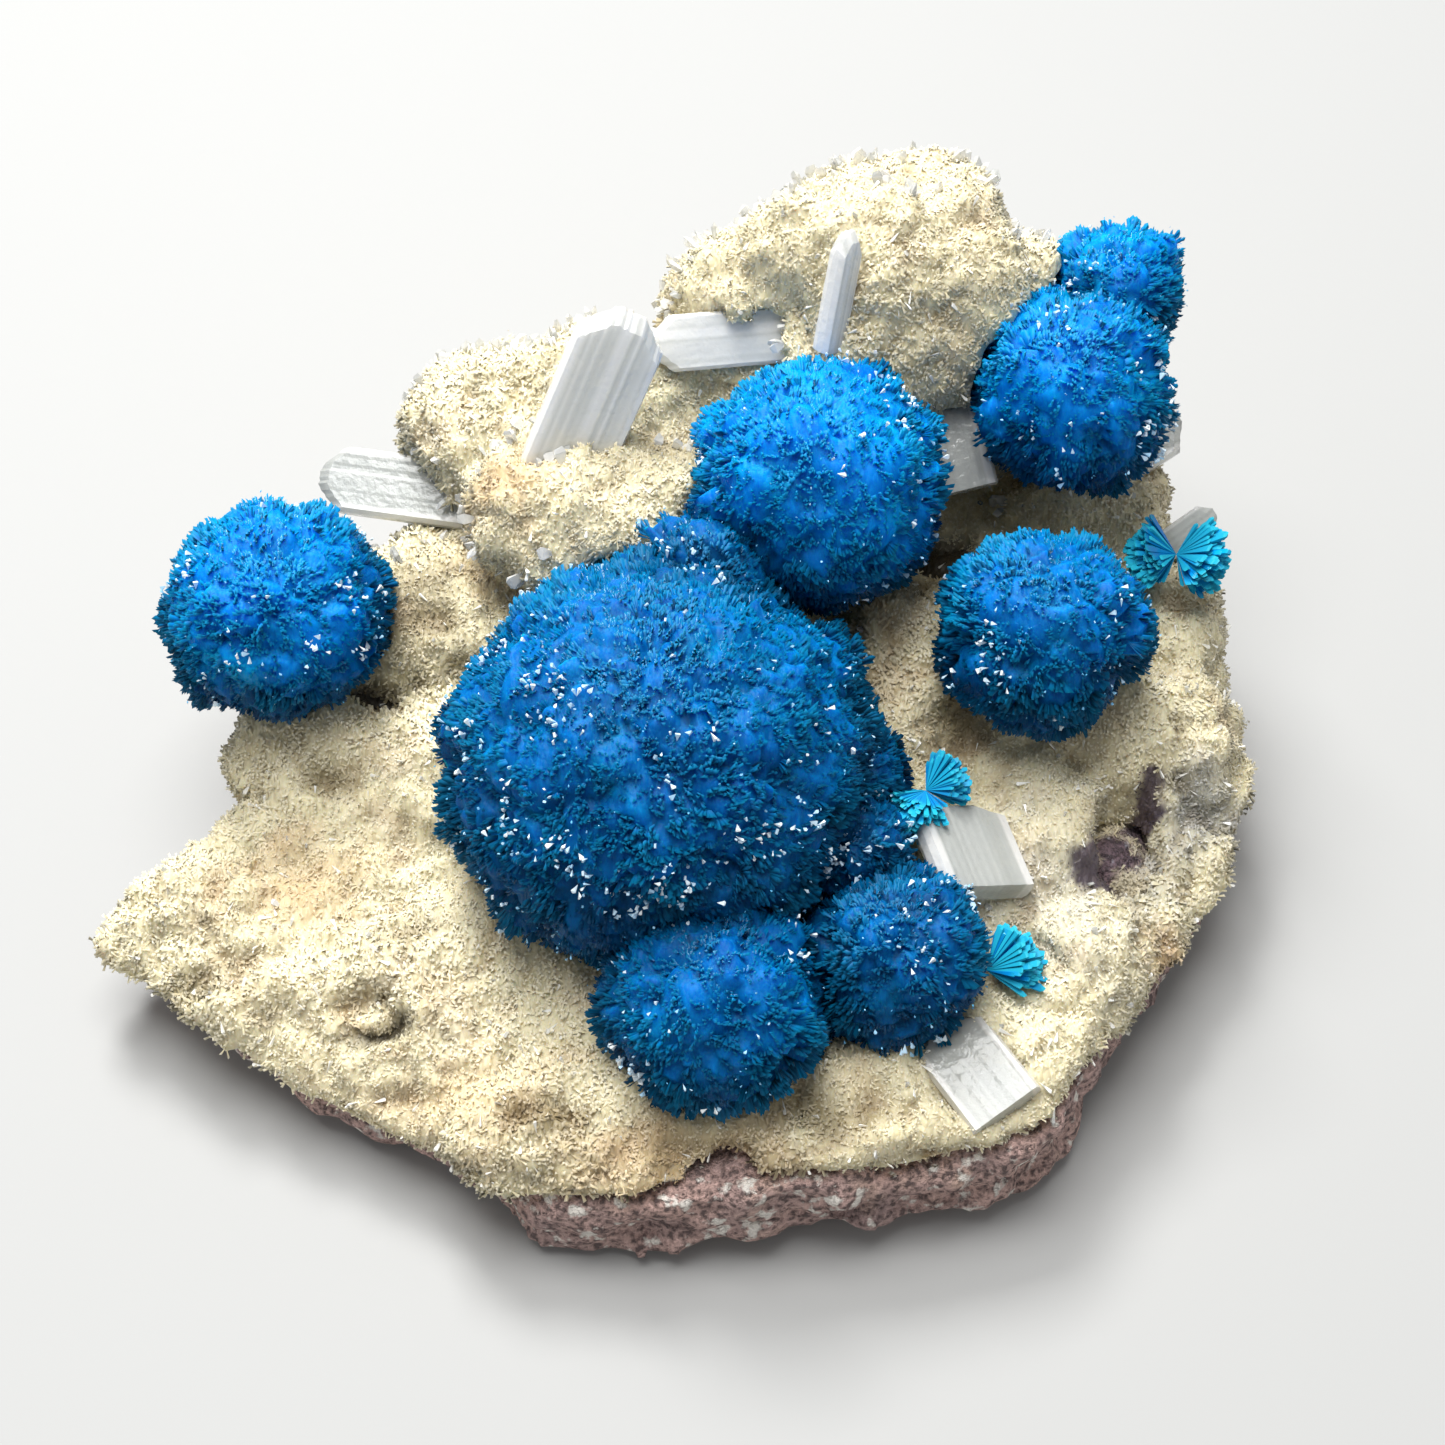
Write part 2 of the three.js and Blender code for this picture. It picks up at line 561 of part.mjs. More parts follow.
function moundTips(tries, seed) {
  const random = randomSource(seed);
  return Array.from({ length: tries }, (_, index) => {
    const { at, size } = MOUNDS[index % MOUNDS.length];
    const around = 2 * Math.PI * random();
    const height = 0.05 + 0.9 * random();
    const across = Math.sqrt(1 - height * height);
    const unit = new THREE.Vector3(across * Math.cos(around), across * Math.sin(around), height);
    const half = new THREE.Vector3(...size);
    const root = unit.clone().multiply(half).multiplyScalar(0.97).add(new THREE.Vector3(...at));
    const axis = unit.divide(half).normalize();
    const shape = [0.9 + 0.7 * random(), 1.1 + 0.9 * random(), 2 * Math.PI * random()];
    const hidden = isBuried(root, index % MOUNDS.length) || isCrowded(root);
    return hidden ? null : crystalTip(root, axis, ...shape);
  }).filter((tip) => tip !== null);
}

// The pieces

const matrix = matrixSolid(0);
const clusterSpace = ballSpaces(CLUSTER, GAP);
const cluster = await simpler(
  balls(CLUSTER).subtract(ballSpace(UPPER_BALL, GAP)),
  CLUSTER_CORNERS,
);
const leftBall = ball(LEFT_BALL);
const upperBall = ball(UPPER_BALL);
const doubleBall = balls(DOUBLE_BALL);
const rightBall = ball(RIGHT_BALL);
const rightFan = fan(RIGHT_FAN, 0).subtract(ballSpace(RIGHT_BALL, GAP));
const middleFan = fan(MIDDLE_FAN, 0).subtract(clusterSpace);
const frontFan = fan(FRONT_FAN, 0).subtract(clusterSpace);

const blueSpaces = [
  ...ALL_BALLS.map((one) => ballSpace(one, GAP)),
  ...ALL_FANS.map((one) => fan(one, GAP)),
];
const seats = [
  ...ALL_BALLS.map((one) => ballSpace(one, SEAT_GAP)),
  ...ALL_FANS.map((one) => fan(one, SEAT_GAP)),
];
const bladeSpaces = BLADES.map((one) => bladeSolid(one, GAP));
const pits = PITS.map((one) => mound(one, 0));
const crustMass = joined([crustBed(), ...MOUNDS.map((one) => mound(one, 0))]);
const crustForm = await simpler(cutBy(crustMass, [...pits, ...seats]), CRUST_CORNERS);
const crust = cutBy(
  joined([crustForm, ...moundTips(TIP_TRIES, 5)]),
  [matrixSolid(GAP), ...bladeSpaces],
);

// Materials

const basaltLook = new THREE.MeshStandardMaterial({ color: 0x6b584f, roughness: 0.9, metalness: 0 });
const druseLook = new THREE.MeshStandardMaterial({ color: 0xdccfae, roughness: 0.6, metalness: 0 });
const blueLook = new THREE.MeshStandardMaterial({ color: 0x0472c4, roughness: 0.35, metalness: 0 });
const bladeLook = new THREE.MeshStandardMaterial({ color: 0xe9ecec, roughness: 0.2, metalness: 0 });

const specimen = new THREE.Group();

function place(name, solid, look) {
  const mesh = new THREE.Mesh(geometryFrom(solid), look.clone());
  mesh.name = name;
  specimen.add(mesh);
}

place('basalt_matrix', matrix, basaltLook);
place('stilbite_druse', crust, druseLook);
place('cavansite_cluster', cluster, blueLook);
place('cavansite_ball_left', leftBall, blueLook);
place('cavansite_ball_upper', upperBall, blueLook);
place('cavansite_ball_double', doubleBall, blueLook);
place('cavansite_ball_right', rightBall, blueLook);
place('cavansite_fan_right', rightFan, blueLook);
place('cavansite_fan_middle', middleFan, blueLook);
place('cavansite_fan_front', frontFan, blueLook);
BLADES.forEach((one) => place(one.name, cutBy(bladeSolid(one, 0), blueSpaces), bladeLook));

// The origin is in the middle of the underside.
const box = new THREE.Box3().setFromObject(specimen);
const middle = box.getCenter(new THREE.Vector3());
specimen.position.set(-middle.x, -middle.y, -box.min.z);

export default specimen;
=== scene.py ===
# Cavansite specimen: blue crystal balls on a cream crust of tiny stilbite crystals over basalt.
# Blender works in metres; the sizes below are millimetres and are multiplied by MM on the way in.

import math
from typing import NamedTuple

import bmesh
import bpy
import numpy as np
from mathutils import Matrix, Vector


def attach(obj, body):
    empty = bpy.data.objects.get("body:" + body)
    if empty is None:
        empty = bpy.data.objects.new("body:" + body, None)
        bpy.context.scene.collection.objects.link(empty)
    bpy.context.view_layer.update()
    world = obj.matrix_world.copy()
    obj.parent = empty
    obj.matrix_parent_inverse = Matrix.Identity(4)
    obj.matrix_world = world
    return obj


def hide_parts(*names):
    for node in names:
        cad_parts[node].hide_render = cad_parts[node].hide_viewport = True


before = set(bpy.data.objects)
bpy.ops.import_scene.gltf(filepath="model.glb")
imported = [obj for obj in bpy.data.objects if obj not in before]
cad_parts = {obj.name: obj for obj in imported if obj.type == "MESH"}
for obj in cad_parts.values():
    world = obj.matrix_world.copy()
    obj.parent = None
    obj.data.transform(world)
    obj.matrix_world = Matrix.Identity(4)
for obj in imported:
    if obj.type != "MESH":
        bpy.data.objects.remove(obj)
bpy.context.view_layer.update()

MM = 0.001

# Places are measured from the middle of the photograph; this is where that middle lies in the
# specimen's frame, whose origin is the middle of its underside.
MIDDLE = np.array((2.86, -0.14, 0.0))

# Where the photograph was taken from; the tilt from straight down and the angle of view are
# degrees
CAMERA_PLACE = (0, -105.58, 147.14)
CAMERA_TILT = 38.0
CAMERA_ANGLE = 30.0
CAMERA_NEAR = 5.0  # nothing nearer to the camera is drawn

# Each light's name, place, size and power, and the place that they face
LIGHTS = [
    ("back window", (-100, 280, 420), 160, 2.6),
    ("top softbox", (-50, 30, 500), 300, 2.4),
]
LIT_PLACE = (0, 0, 10)
ROOM_COLOUR = (0.95, 0.97, 1, 1)
ROOM_LIGHT = 0.36
FLOOR_REACH = 2000
FLOOR_CORNERS = ((-1, -1), (1, -1), (1, 1), (-1, 1))


class Ball(NamedTuple):
    """A cavansite ball."""

    node: str  # that it stands for
    at: tuple  # its centre
    radius: float
    flatten: float  # its height as a share of its width
    foot: float  # how far down its blades go: 0 at the waist, 1 at the foot
    tone: float  # how much deeper its blue is
    seed: int


BALLS = {
    "cavansite_main": Ball("cavansite_cluster", (-3.9, -6.6, 16.6), 13.3, 0.9, 0.62, 0.52, 11),
    "cavansite_main_top": Ball("cavansite_cluster", (-1.2, 2.6, 21.6), 5.0, 1.0, 0.75, 0.38, 12),
    "cavansite_side": Ball("cavansite_cluster", (7.8, -6.4, 15.6), 3.9, 1.0, 0.75, 0.48, 13),
    "cavansite_side_low": Ball("cavansite_cluster", (7.4, -11.4, 14.2), 4.0, 1.0, 0.75, 0.58, 16),
    "cavansite_front_left": Ball("cavansite_cluster", (-0.4, -20.7, 12.4), 7.0, 0.95, 0.7, 0.44, 14),
    "cavansite_front_right": Ball("cavansite_cluster", (10, -17.8, 12.4), 5.9, 1.0, 0.7, 0.7, 15),
    "cavansite_left": Ball("cavansite_ball_left", (-28, 4.2, 18), 7.3, 0.92, 0.9, 0.08, 21),
    "cavansite_upper": Ball("cavansite_ball_upper", (5.8, 9.2, 24.2), 8.1, 0.95, 0.9, 0.0, 22),
    "cavansite_double": Ball("cavansite_ball_double", (22, 16.4, 25.4), 6.7, 0.94, 0.9, 0.04, 23),
    "cavansite_double_top": Ball("cavansite_ball_double", (24.9, 22.2, 28.6), 4.6, 1.0, 0.9, 0.0, 24),
    "cavansite_right": Ball("cavansite_ball_right", (19.8, 1.2, 19.6), 6.4, 1.0, 0.88, 0.44, 25),
}

# Cavansite fans: the node each stands for, its hub and seed, and each wing's direction, length
# and half angle in degrees
FANS = {
    "cavansite_fan_right": ("cavansite_fan_right", (28.9, 8.6, 18.4), 31, [
        ((-1, 0, 0.1), 3.5, 52), ((1, -0.3, 0.1), 3.7, 56),
    ]),
    "cavansite_fan_middle": ("cavansite_fan_middle", (12.4, -7.6, 15), 32, [
        ((-0.4, -1, 0.1), 3.6, 40), ((1, 0.5, 0.2), 3, 46),
    ]),
    "cavansite_fan_front": ("cavansite_fan_front", (15.8, -17.9, 10.8), 33, [
        ((1, 0.35, 0.3), 3.9, 42),
    ]),
    "cavansite_sheaf_right": ("cavansite_cluster", (6.6, -14.4, 12.6), 34, [
        ((0.15, 0.5, 0.9), 3, 26), ((-0.8, 0.3, 0.6), 2.6, 24),
    ]),
    "cavansite_sheaf_left": ("cavansite_cluster", (-3.6, -17.6, 11.6), 35, [
        ((-0.1, -0.3, 1), 2.6, 40),
    ]),
}

BLADE_NODES = [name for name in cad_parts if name.startswith("stilbite_blade_")]

# How white each blade is painted: partly how milky it is, and partly painted light that lifts the
# blades whose faces lie in shade; the others are greyer and clearer, partly as painted shade that dims
# blades facing the lights
BLADE_MILK_AND_PAINTED_LIGHT = {"stilbite_blade_tall": 1, "stilbite_blade_flat": 0.9, "stilbite_blade_slim": 0.8}
GREYISH_MILK_AND_PAINTED_SHADE = 0.28

# Where the crust is broken away and a knob of basalt shows: its middle and radius
BARE_PATCH = (25.2, -8.2, 8.6)
BARE_RADIUS = 4.4

# Patches of the crust, some real stains and bare stone, some painted shade: the colour by which its
# colour is multiplied there, the softness of their edges, and each patch's strength, middle and radii
PATCHES = {
    # tawny stains in places, and painted shade along the front shelf, which is darker where it faces
    # away from the lights
    "tan_and_painted_shade": ((0.86, 0.7, 0.58, 1), 0.9, [
        (1, (27, -15.4), (2, 2.8)), (0.8, (-26, -10.4), (5, 4)),
        (0.8, (-2, -29.5), (8, 3.4)), (0.5, (-14, -24.6), (7, 3)),
        (0.8, (-14, 9.5), (3.4, 2.4)),
    ]),
    "grey": ((0.72, 0.77, 0.97, 1), 0.9, [
        (1, (26.5, -8.5), (3.4, 3)), (1, (30.5, -5.2), (3.6, 2.8)),
        (0.6, (19, -13), (8, 7)),
    ]),
    # painted shade: a brownish darkening painted into recesses, creases, the dark edge of the bare
    # patch, and beside and under the balls, where their shadows fall
    "painted_shade": ((0.44, 0.4, 0.34, 1), 0.9, [
        (0.8, (28.7, -1.5), (0.7, 0.9)), (0.8, (28.8, -4.4), (0.9, 0.5)),
        (0.7, (31.4, -5.8), (1.5, 0.7)), (0.4, (-2, -28.4), (12, 4)),
        (1, (-18.4, 5.4), (3.8, 3.8)), (1, (-21.2, 1.6), (2.8, 1.6)),
        (1, (-24.6, -4.6), (2.6, 1.2)), (1, (-18.4, -14.6), (2.6, 1.5)),
        (0.9, (-31.4, -16.4), (2.6, 1)), (1, (-10, -26.4), (4, 1.4)),
        (1, (7.6, -27), (5, 1.7)), (1, (14.8, -1), (1.9, 4.6)),
        (1, (13.6, 9.4), (2.8, 3.2)), (0.7, (-2.4, 12.6), (3.6, 1.6)),
    ]),
    # hollows: pits sunk a little into the crust and painted near-black as their shadow
    "hollow": ((0.1, 0.09, 0.08, 1), 0.5, [
        (1, (14.2, 12.6), (2.8, 1.8)), (1, (-20.8, -20.6), (2.4, 1.1)),
        (1, (-21.6, 1.4), (1.9, 0.9)),
    ]),
    "stone": ((0.17, 0.145, 0.22, 1), 0.2, [
        (1, (26.9, -4.7), (1, 0.9)), (1, (26.2, -5.8), (1.3, 1.2)),
        (1, (24.8, -8), (1.8, 1.8)), (1, (23.3, -10.6), (1.8, 1.9)),
    ]),
}

# How the crystals are spread, and how rough the surfaces under them are
SHEAF_AREA = 9.0  # of a ball's surface for each sheaf
SHEAF_STEP = 0.55  # how much the tops of neighbouring sheaves differ
SHEAF_TILT = 0.13
BUNDLE_SIZE = 1.1  # of the bundles of blades within a sheaf
BUNDLE_STEP = 0.3
FIBRE_SIZE = 0.45  # of the single blades within a bundle
FIBRE_STEP = 0.24
SWELLING_SIZE = 5.5  # of the round swellings of a whole ball
SWELLING_STEP = 1.05
LARGE_BALL = 10.0  # balls of a larger radius have a finer body
BODY_DEPTH = 0.2  # of a ball's body inside its form, and the least of its blades outside
# Where balls are nearer than this, painted shade deepens their blue where they face each other
CROWDED = 2.5  # balls that are nearer to each other turn deeper there
SMALL_FANS = 2.4  # on each square millimetre of a ball
SMALL_FAN_BLADES = 7
LOBE_SIZE = 2.5  # of the lobes in which small fans stand out together
LOBE_STAND = 0.85
GLINT_FLECKS = 3.6  # tried on each square millimetre of a ball
BOW_TIE_SHEETS = 14
SHEET_BLADES = 16
LARGE_KNOBS = 4.4  # sizes of the crust's knobs
SMALL_KNOBS = 1.9
SPLINTERS = 98000  # of the druse's felt
PLATES = 1100
HOLLOW_DEPTH = 1.1  # how far the crust is sunk in its hollow patches
# how far the crust is sunk in its patches of painted shade
PAINTED_SHADE_DEPTH = 0.5
TIPS = 9000  # places tried for clear tips
CREST_HEIGHT = 17.0
FLANK_HEIGHT = 14.0
FAN_SOFTNESS = 0.5  # how far small crystals are shaded like the surface under them
FELT_SOFTNESS = 0.6
DRUSE_VOXEL = 0.56
BASALT_VOXEL = 0.65
FAR = 99.0  # further than anything on the specimen

# Colours
AZURE = {"Ground": (0.0, 0.26, 0.8, 1), "Patch": (0.0, 0.18, 0.65, 1), "Stain": (0.0, 0.35, 0.82, 1)}
CREAM = {"Ground": (0.78, 0.7, 0.45, 1), "Patch": (0.74, 0.65, 0.41, 1), "Stain": (0.68, 0.57, 0.36, 1)}
STONE = {"Ground": (0.68, 0.45, 0.39, 1), "Patch": (0.46, 0.32, 0.3, 1), "Stain": (0.72, 0.5, 0.4, 1)}
STONE_GRAIN = (0.12, 0.085, 0.08, 1)
STONE_SPECKS = (0.9, 0.84, 0.76, 1)
BARE_DYE = (0.4, 0.4, 0.5, 1)
OVERGROWN = (0.7, 0.62, 0.45, 1)
# The blue that painted shade on the balls, and their deeper tone, turn towards
DEEP_BLUE = (0.0, 0.06, 0.18, 1)
# The colours of the painted glints
PAINTED_GLINT_BLUE = (0.08, 0.5, 0.85, 1)
PAINTED_GLINT_WHITE = (0.95, 1.0, 1.0, 1)
CLEAR_GREY = (0.5, 0.52, 0.49, 1)
MILK_WHITE = (1.0, 0.99, 0.95, 1)


# Seeded random numbers and noise

# Each axis has its own stride through the numbers, and each seed starts further on
STRIDES = (374761393, 668265263, 2147483629)
SEED_STRIDE = 7919
SCRAMBLES = ((13, 1274126177), (15, 2246822519))
LAST_SHIFT = 16
GOLDEN_ANGLE = math.pi * (3 - math.sqrt(5))


def lattice_value(cell, seed):
    """A number from 0 to 1 for each cell of a lattice, always the same for the same seed."""
    mixed = np.uint32(seed * SEED_STRIDE)
    for axis, stride in enumerate(STRIDES):
        mixed = mixed + cell[..., axis].astype(np.uint32) * np.uint32(stride)
    for shift, scramble in SCRAMBLES:
        mixed = (mixed ^ (mixed >> np.uint32(shift))) * np.uint32(scramble)
    return (mixed ^ (mixed >> np.uint32(LAST_SHIFT))).astype(np.float64) / 2**32


def noise(points, swell, seed):
    """Smooth noise from -1 to 1 at each point, with one swell every so many millimetres."""
    place = points / swell
    base = np.floor(place).astype(np.int64)
    share = place - base
    share = share * share * (3 - 2 * share)
    total = np.zeros(len(points))
    for corner in range(8):
        step = np.array([corner & 1, (corner >> 1) & 1, (corner >> 2) & 1])
        weight = np.prod(np.where(step, share, 1 - share), axis=1)
        total += weight * lattice_value(base + step, seed)
    return total * 2 - 1


def lumps(points, size, seed):
    """Round lumps that meet in creases: 1 on a lump's top, 0 in a crease, and each one's number."""
    place = points / size
    base = np.floor(place).astype(np.int64)
    nearest = np.full(len(points), FAR)
    number = np.zeros(len(points))
    for corner in range(27):
        step = np.array([corner % 3, (corner // 3) % 3, corner // 9]) - 1
        cell = base + step
        jitter = np.stack([lattice_value(cell, seed + 5 + axis) for axis in range(3)], axis=1)
        reach = np.sum((cell + jitter - place) ** 2, axis=1)
        number = np.where(reach < nearest, lattice_value(cell, seed + 9), number)
        nearest = np.minimum(nearest, reach)
    return np.clip(1 - nearest, 0, 1), number


def unit(vectors):
    return vectors / np.maximum(np.linalg.norm(vectors, axis=-1, keepdims=True), 1e-9)


def ball_directions(count, random, loose):
    """Directions spread over a ball, each somewhat off its even place."""
    index = np.arange(count)
    height = 1 - (2 * index + 1) / count
    across = np.sqrt(1 - height**2)
    around = index * GOLDEN_ANGLE
    even = np.stack([across * np.cos(around), across * np.sin(around), height], axis=1)
    astray = random.normal(size=(count, 3)) * loose / math.sqrt(count)
    return unit(even + astray)


# Meshes


def triangle_mesh(name, points, triangles, marks):
    """A mesh from points in millimetres, with named numbers stored on its points."""
    mesh = bpy.data.meshes.new(name)
    mesh.vertices.add(len(points))
    mesh.vertices.foreach_set("co", (points * MM).astype(np.float32).ravel())
    mesh.loops.add(triangles.size)
    mesh.loops.foreach_set("vertex_index", triangles.astype(np.int32).ravel())
    mesh.polygons.add(len(triangles))
    mesh.polygons.foreach_set("loop_start", np.arange(0, triangles.size, 3, dtype=np.int32))
    for mark, values in marks.items():
        layer = mesh.attributes.new(mark, "FLOAT", "POINT")
        layer.data.foreach_set("value", np.asarray(values, np.float32))
    mesh.update(calc_edges=True)
    return mesh


def joined(parts):
    """One (points, triangles, marks) from several, with the marks that all of them have."""
    points = np.concatenate([part[0] for part in parts])
    starts = np.cumsum([0] + [len(part[0]) for part in parts[:-1]])
    triangles = np.concatenate([part[1] + start for part, start in zip(parts, starts)])
    shared = [mark for mark in parts[0][2] if all(mark in part[2] for part in parts)]
    marks = {mark: np.concatenate([part[2][mark] for part in parts]) for mark in shared}
    return points, triangles, marks


def new_object(name, data):
    made = bpy.data.objects.new(name, data)
    bpy.context.scene.collection.objects.link(made)
    return made


def add_piece(name, built, look, node, smooth=False):
    """A piece from its points, triangles and marks; gives back its mesh."""
    mesh = triangle_mesh(name, *built)
    mesh.materials.append(look)
    mesh.polygons.foreach_set("use_smooth", np.full(len(mesh.polygons), smooth))
    piece = new_object(name, mesh)
    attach(piece, "root")
    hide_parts(node)
    return mesh


def mesh_arrays(mesh):
    """A mesh's points in millimetres, its point normals and its triangles."""
    points = np.zeros(len(mesh.vertices) * 3)
    mesh.vertices.foreach_get("co", points)
    normals = np.zeros(len(mesh.vertices) * 3)
    mesh.vertices.foreach_get("normal", normals)
    mesh.calc_loop_triangles()
    triangles = np.zeros(len(mesh.loop_triangles) * 3, np.int32)
    mesh.loop_triangles.foreach_get("vertices", triangles)
    return points.reshape(-1, 3) / MM, normals.reshape(-1, 3), triangles.reshape(-1, 3)


def shade_softly(mesh, ground, share):
    """Shades small crystals partly like the surface that they grow on, one ground direction each."""
    _, own, _ = mesh_arrays(mesh)
    under = np.repeat(ground, len(own) // len(ground), axis=0)
    mesh.normals_split_custom_set_from_vertices(unit(own * (1 - share) + under * share))


def rounded_form(node, voxel, rounds):
    """A node's form as an even, rounded mesh's arrays, from which a rough surface is made."""
    work = new_object("work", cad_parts[node].data.copy())
    remesh = work.modifiers.new("even", "REMESH")
    remesh.mode = "VOXEL"
    remesh.voxel_size = voxel * MM
    soften = work.modifiers.new("round", "SMOOTH")
    soften.factor = 0.5
    soften.iterations = rounds
    ready = work.evaluated_get(bpy.context.evaluated_depsgraph_get())
    mesh = bpy.data.meshes.new_from_object(ready)
    bpy.data.objects.remove(work)
    arrays = mesh_arrays(mesh)
    bpy.data.meshes.remove(mesh)
    return arrays


# Crystals: each grows from a point, widens to its shoulders and ends in a chisel edge or a point

# Each form's points, as places across, through and along the crystal and the share of the chisel
# by which they lie below the tip, and its triangles
BLADE = (
    np.array([
        (0, 0, 0, 0),
        (-0.5, -0.5, 1, 1), (0.5, -0.5, 1, 1), (0.5, 0.5, 1, 1), (-0.5, 0.5, 1, 1),
        (-0.36, 0, 1, 0.3), (0.3, 0, 1, 0),
    ]),
    np.array([
        (0, 2, 1), (0, 3, 2), (0, 4, 3), (0, 1, 4),
        (1, 2, 6), (1, 6, 5), (3, 4, 5), (3, 5, 6), (2, 3, 6), (4, 1, 5),
    ]),
)
SPLINTER = (
    np.array([(0, 0, 0, 0), (-0.5, -0.4, 1, 1), (0.5, -0.4, 1, 0.7), (0.1, 0.6, 1, 0)]),
    np.array([(0, 2, 1), (0, 3, 2), (0, 1, 3), (1, 2, 3)]),
)
SHOULDER_DROP = 0.2  # how much less a crystal's rise is at its shoulders than at its tip


def turned_across(axes, turns):
    """A direction square to each axis, turned about it by an angle."""
    helper = np.where(np.abs(axes[:, 2:]) > 0.9, np.array([[1.0, 0, 0]]), np.array([[0, 0, 1.0]]))
    first = unit(np.cross(helper, axes))
    second = np.cross(axes, first)
    return first * np.cos(turns)[:, None] + second * np.sin(turns)[:, None]


def turned_anyhow(axes, random):
    """A direction square to each axis, turned about it at random."""
    return turned_across(axes, random.uniform(0, math.pi, len(axes)))


def turned_up(axes, outward, least):
    """The axes, turned up where they lie flatter than a least share of the outward direction."""
    short = np.clip(least - np.sum(axes * outward, axis=1), 0, 2)
    return unit(axes + outward * short[:, None])


def crystals(form, tips, axes, across, lengths, widths, depths, chisels, marks):
    """Crystals that end at the tips and grow along the axes; marks hold one number each."""
    shape, faces = form
    through = np.cross(axes, across)
    roots = tips - axes * lengths[:, None]
    forward = shape[:, 2] * lengths[:, None] - shape[:, 3] * chisels[:, None]
    points = (
        roots[:, None, :]
        + shape[None, :, 0:1] * (across * widths[:, None])[:, None, :]
        + shape[None, :, 1:2] * (through * depths[:, None])[:, None, :]
        + forward[:, :, None] * axes[:, None, :]
    )
    count = len(shape)
    triangles = faces[None] + count * np.arange(len(tips))[:, None, None]
    spread = {mark: np.repeat(values, count) for mark, values in marks.items()}
    rise = np.where(shape[:, 2] == 0, 0, 1 - SHOULDER_DROP * shape[:, 3])
    spread["rise"] = np.tile(rise, len(tips))
    return points.reshape(-1, 3), triangles.reshape(-1, 3), spread


# Cavansite balls: a body of stepped sheaves under a cover of small fans


def centre_of(one):
    return MIDDLE + one.at


def ball_gap(points, balls=tuple(BALLS.values()), sunk=0.95):
    """How far each point is from the nearest ball, and the direction to that ball's middle."""
    gap = np.full(len(points), FAR)
    toward = np.zeros((len(points), 3))
    for one in balls:
        way = centre_of(one) - points
        away = np.linalg.norm(way, axis=1) - one.radius * sunk
        toward = np.where((away < gap)[:, None], unit(way), toward)
        gap = np.minimum(gap, away)
    return gap, toward


def crowding(one, directions):
    """How near each place on a ball is to another ball: 1 where they touch, 0 well apart."""
    others = [other for other in BALLS.values() if other is not one]
    places = centre_of(one) + directions * one.radius
    return np.clip(1 - ball_gap(places, others, sunk=1)[0] / CROWDED, 0, 1)


def deep_tone_and_painted_shade(one, directions, crease):
    """Painted shade on a ball: its colour turns deep in its creases, on its underside and next to other
    balls, where shade falls, plus the ball's own deeper tone.
    """
    under = np.clip(0.38 - directions[:, 2], 0, 1)
    deep = 0.4 * crease + 1.5 * under + 0.45 * crowding(one, directions)
    return np.clip(deep + one.tone, 0, 1)


def ball_sheaves(one):
    """The directions of a ball's sheaves, how far each stands out and how its top is tilted."""
    random = np.random.default_rng(one.seed)
    count = int(4 * math.pi * one.radius**2 / SHEAF_AREA)
    axes = ball_directions(count, random, loose=1.6)
    steps = random.uniform(-1, 0.4, count) * SHEAF_STEP
    tilts = random.normal(size=(count, 3)) * SHEAF_TILT
    return axes, steps, tilts


def ball_reach(one, directions, sheaves):
    """How far a ball's body reaches in each direction, and how deep in a crease each place is."""
    axes, steps, tilts = sheaves
    closeness = directions @ axes.T
    nearest = np.argmax(closeness, axis=1)
    aside = (directions - axes[nearest]) * one.radius
    off = np.clip(np.linalg.norm(aside, axis=1) / math.sqrt(SHEAF_AREA / 2), 0, 1)
    height = steps[nearest] + np.sum(tilts[nearest] * aside, axis=1) - 0.5 * off**3
    flat = np.sqrt(1 - (1 - one.flatten**2) * directions[:, 2] ** 2)
    place = centre_of(one) + directions * one.radius
    swelling = lumps(place, SWELLING_SIZE, one.seed + 2)[0]
    lump, number = lumps(place, BUNDLE_SIZE, one.seed)
    fibre = lumps(place, FIBRE_SIZE, one.seed + 4)[1]
    height += SWELLING_STEP * (swelling - 0.7) + FIBRE_STEP * (fibre - 0.6)
    height += BUNDLE_STEP * (number - 0.6) + 0.22 * (lump - 0.8)
    crease = 0.4 * off**3 + 0.5 * (1 - lump) + 0.4 * (0.4 - number) + 0.5 * (0.6 - swelling)
    return one.radius * flat + height, np.clip(crease, 0, 1)


def ball_body(one, sheaves):
    """The closed body of a ball, flat where it sits in the crust."""
    form = bpy.data.meshes.new("core")
    work = bmesh.new()
    subdivisions = 6 if one.radius > LARGE_BALL else 5
    bmesh.ops.create_icosphere(work, subdivisions=subdivisions, radius=1)
    work.to_mesh(form)
    work.free()
    points, _, triangles = mesh_arrays(form)
    bpy.data.meshes.remove(form)
    directions = unit(points)
    reach, crease = ball_reach(one, directions, sheaves)
    foot = one.foot * one.radius
    limit = foot / np.maximum(-directions[:, 2], 0.05)
    reach = np.where(directions[:, 2] < 0, np.minimum(reach, limit), reach)
    placed = centre_of(one) + directions * (reach - BODY_DEPTH)[:, None]
    marks = {
        "painted_shade_and_tone": deep_tone_and_painted_shade(one, directions, crease),
        "shade": np.full(len(placed), 0.4),
        "rise": np.full(len(placed), 0.6),
    }
    return placed, triangles, marks


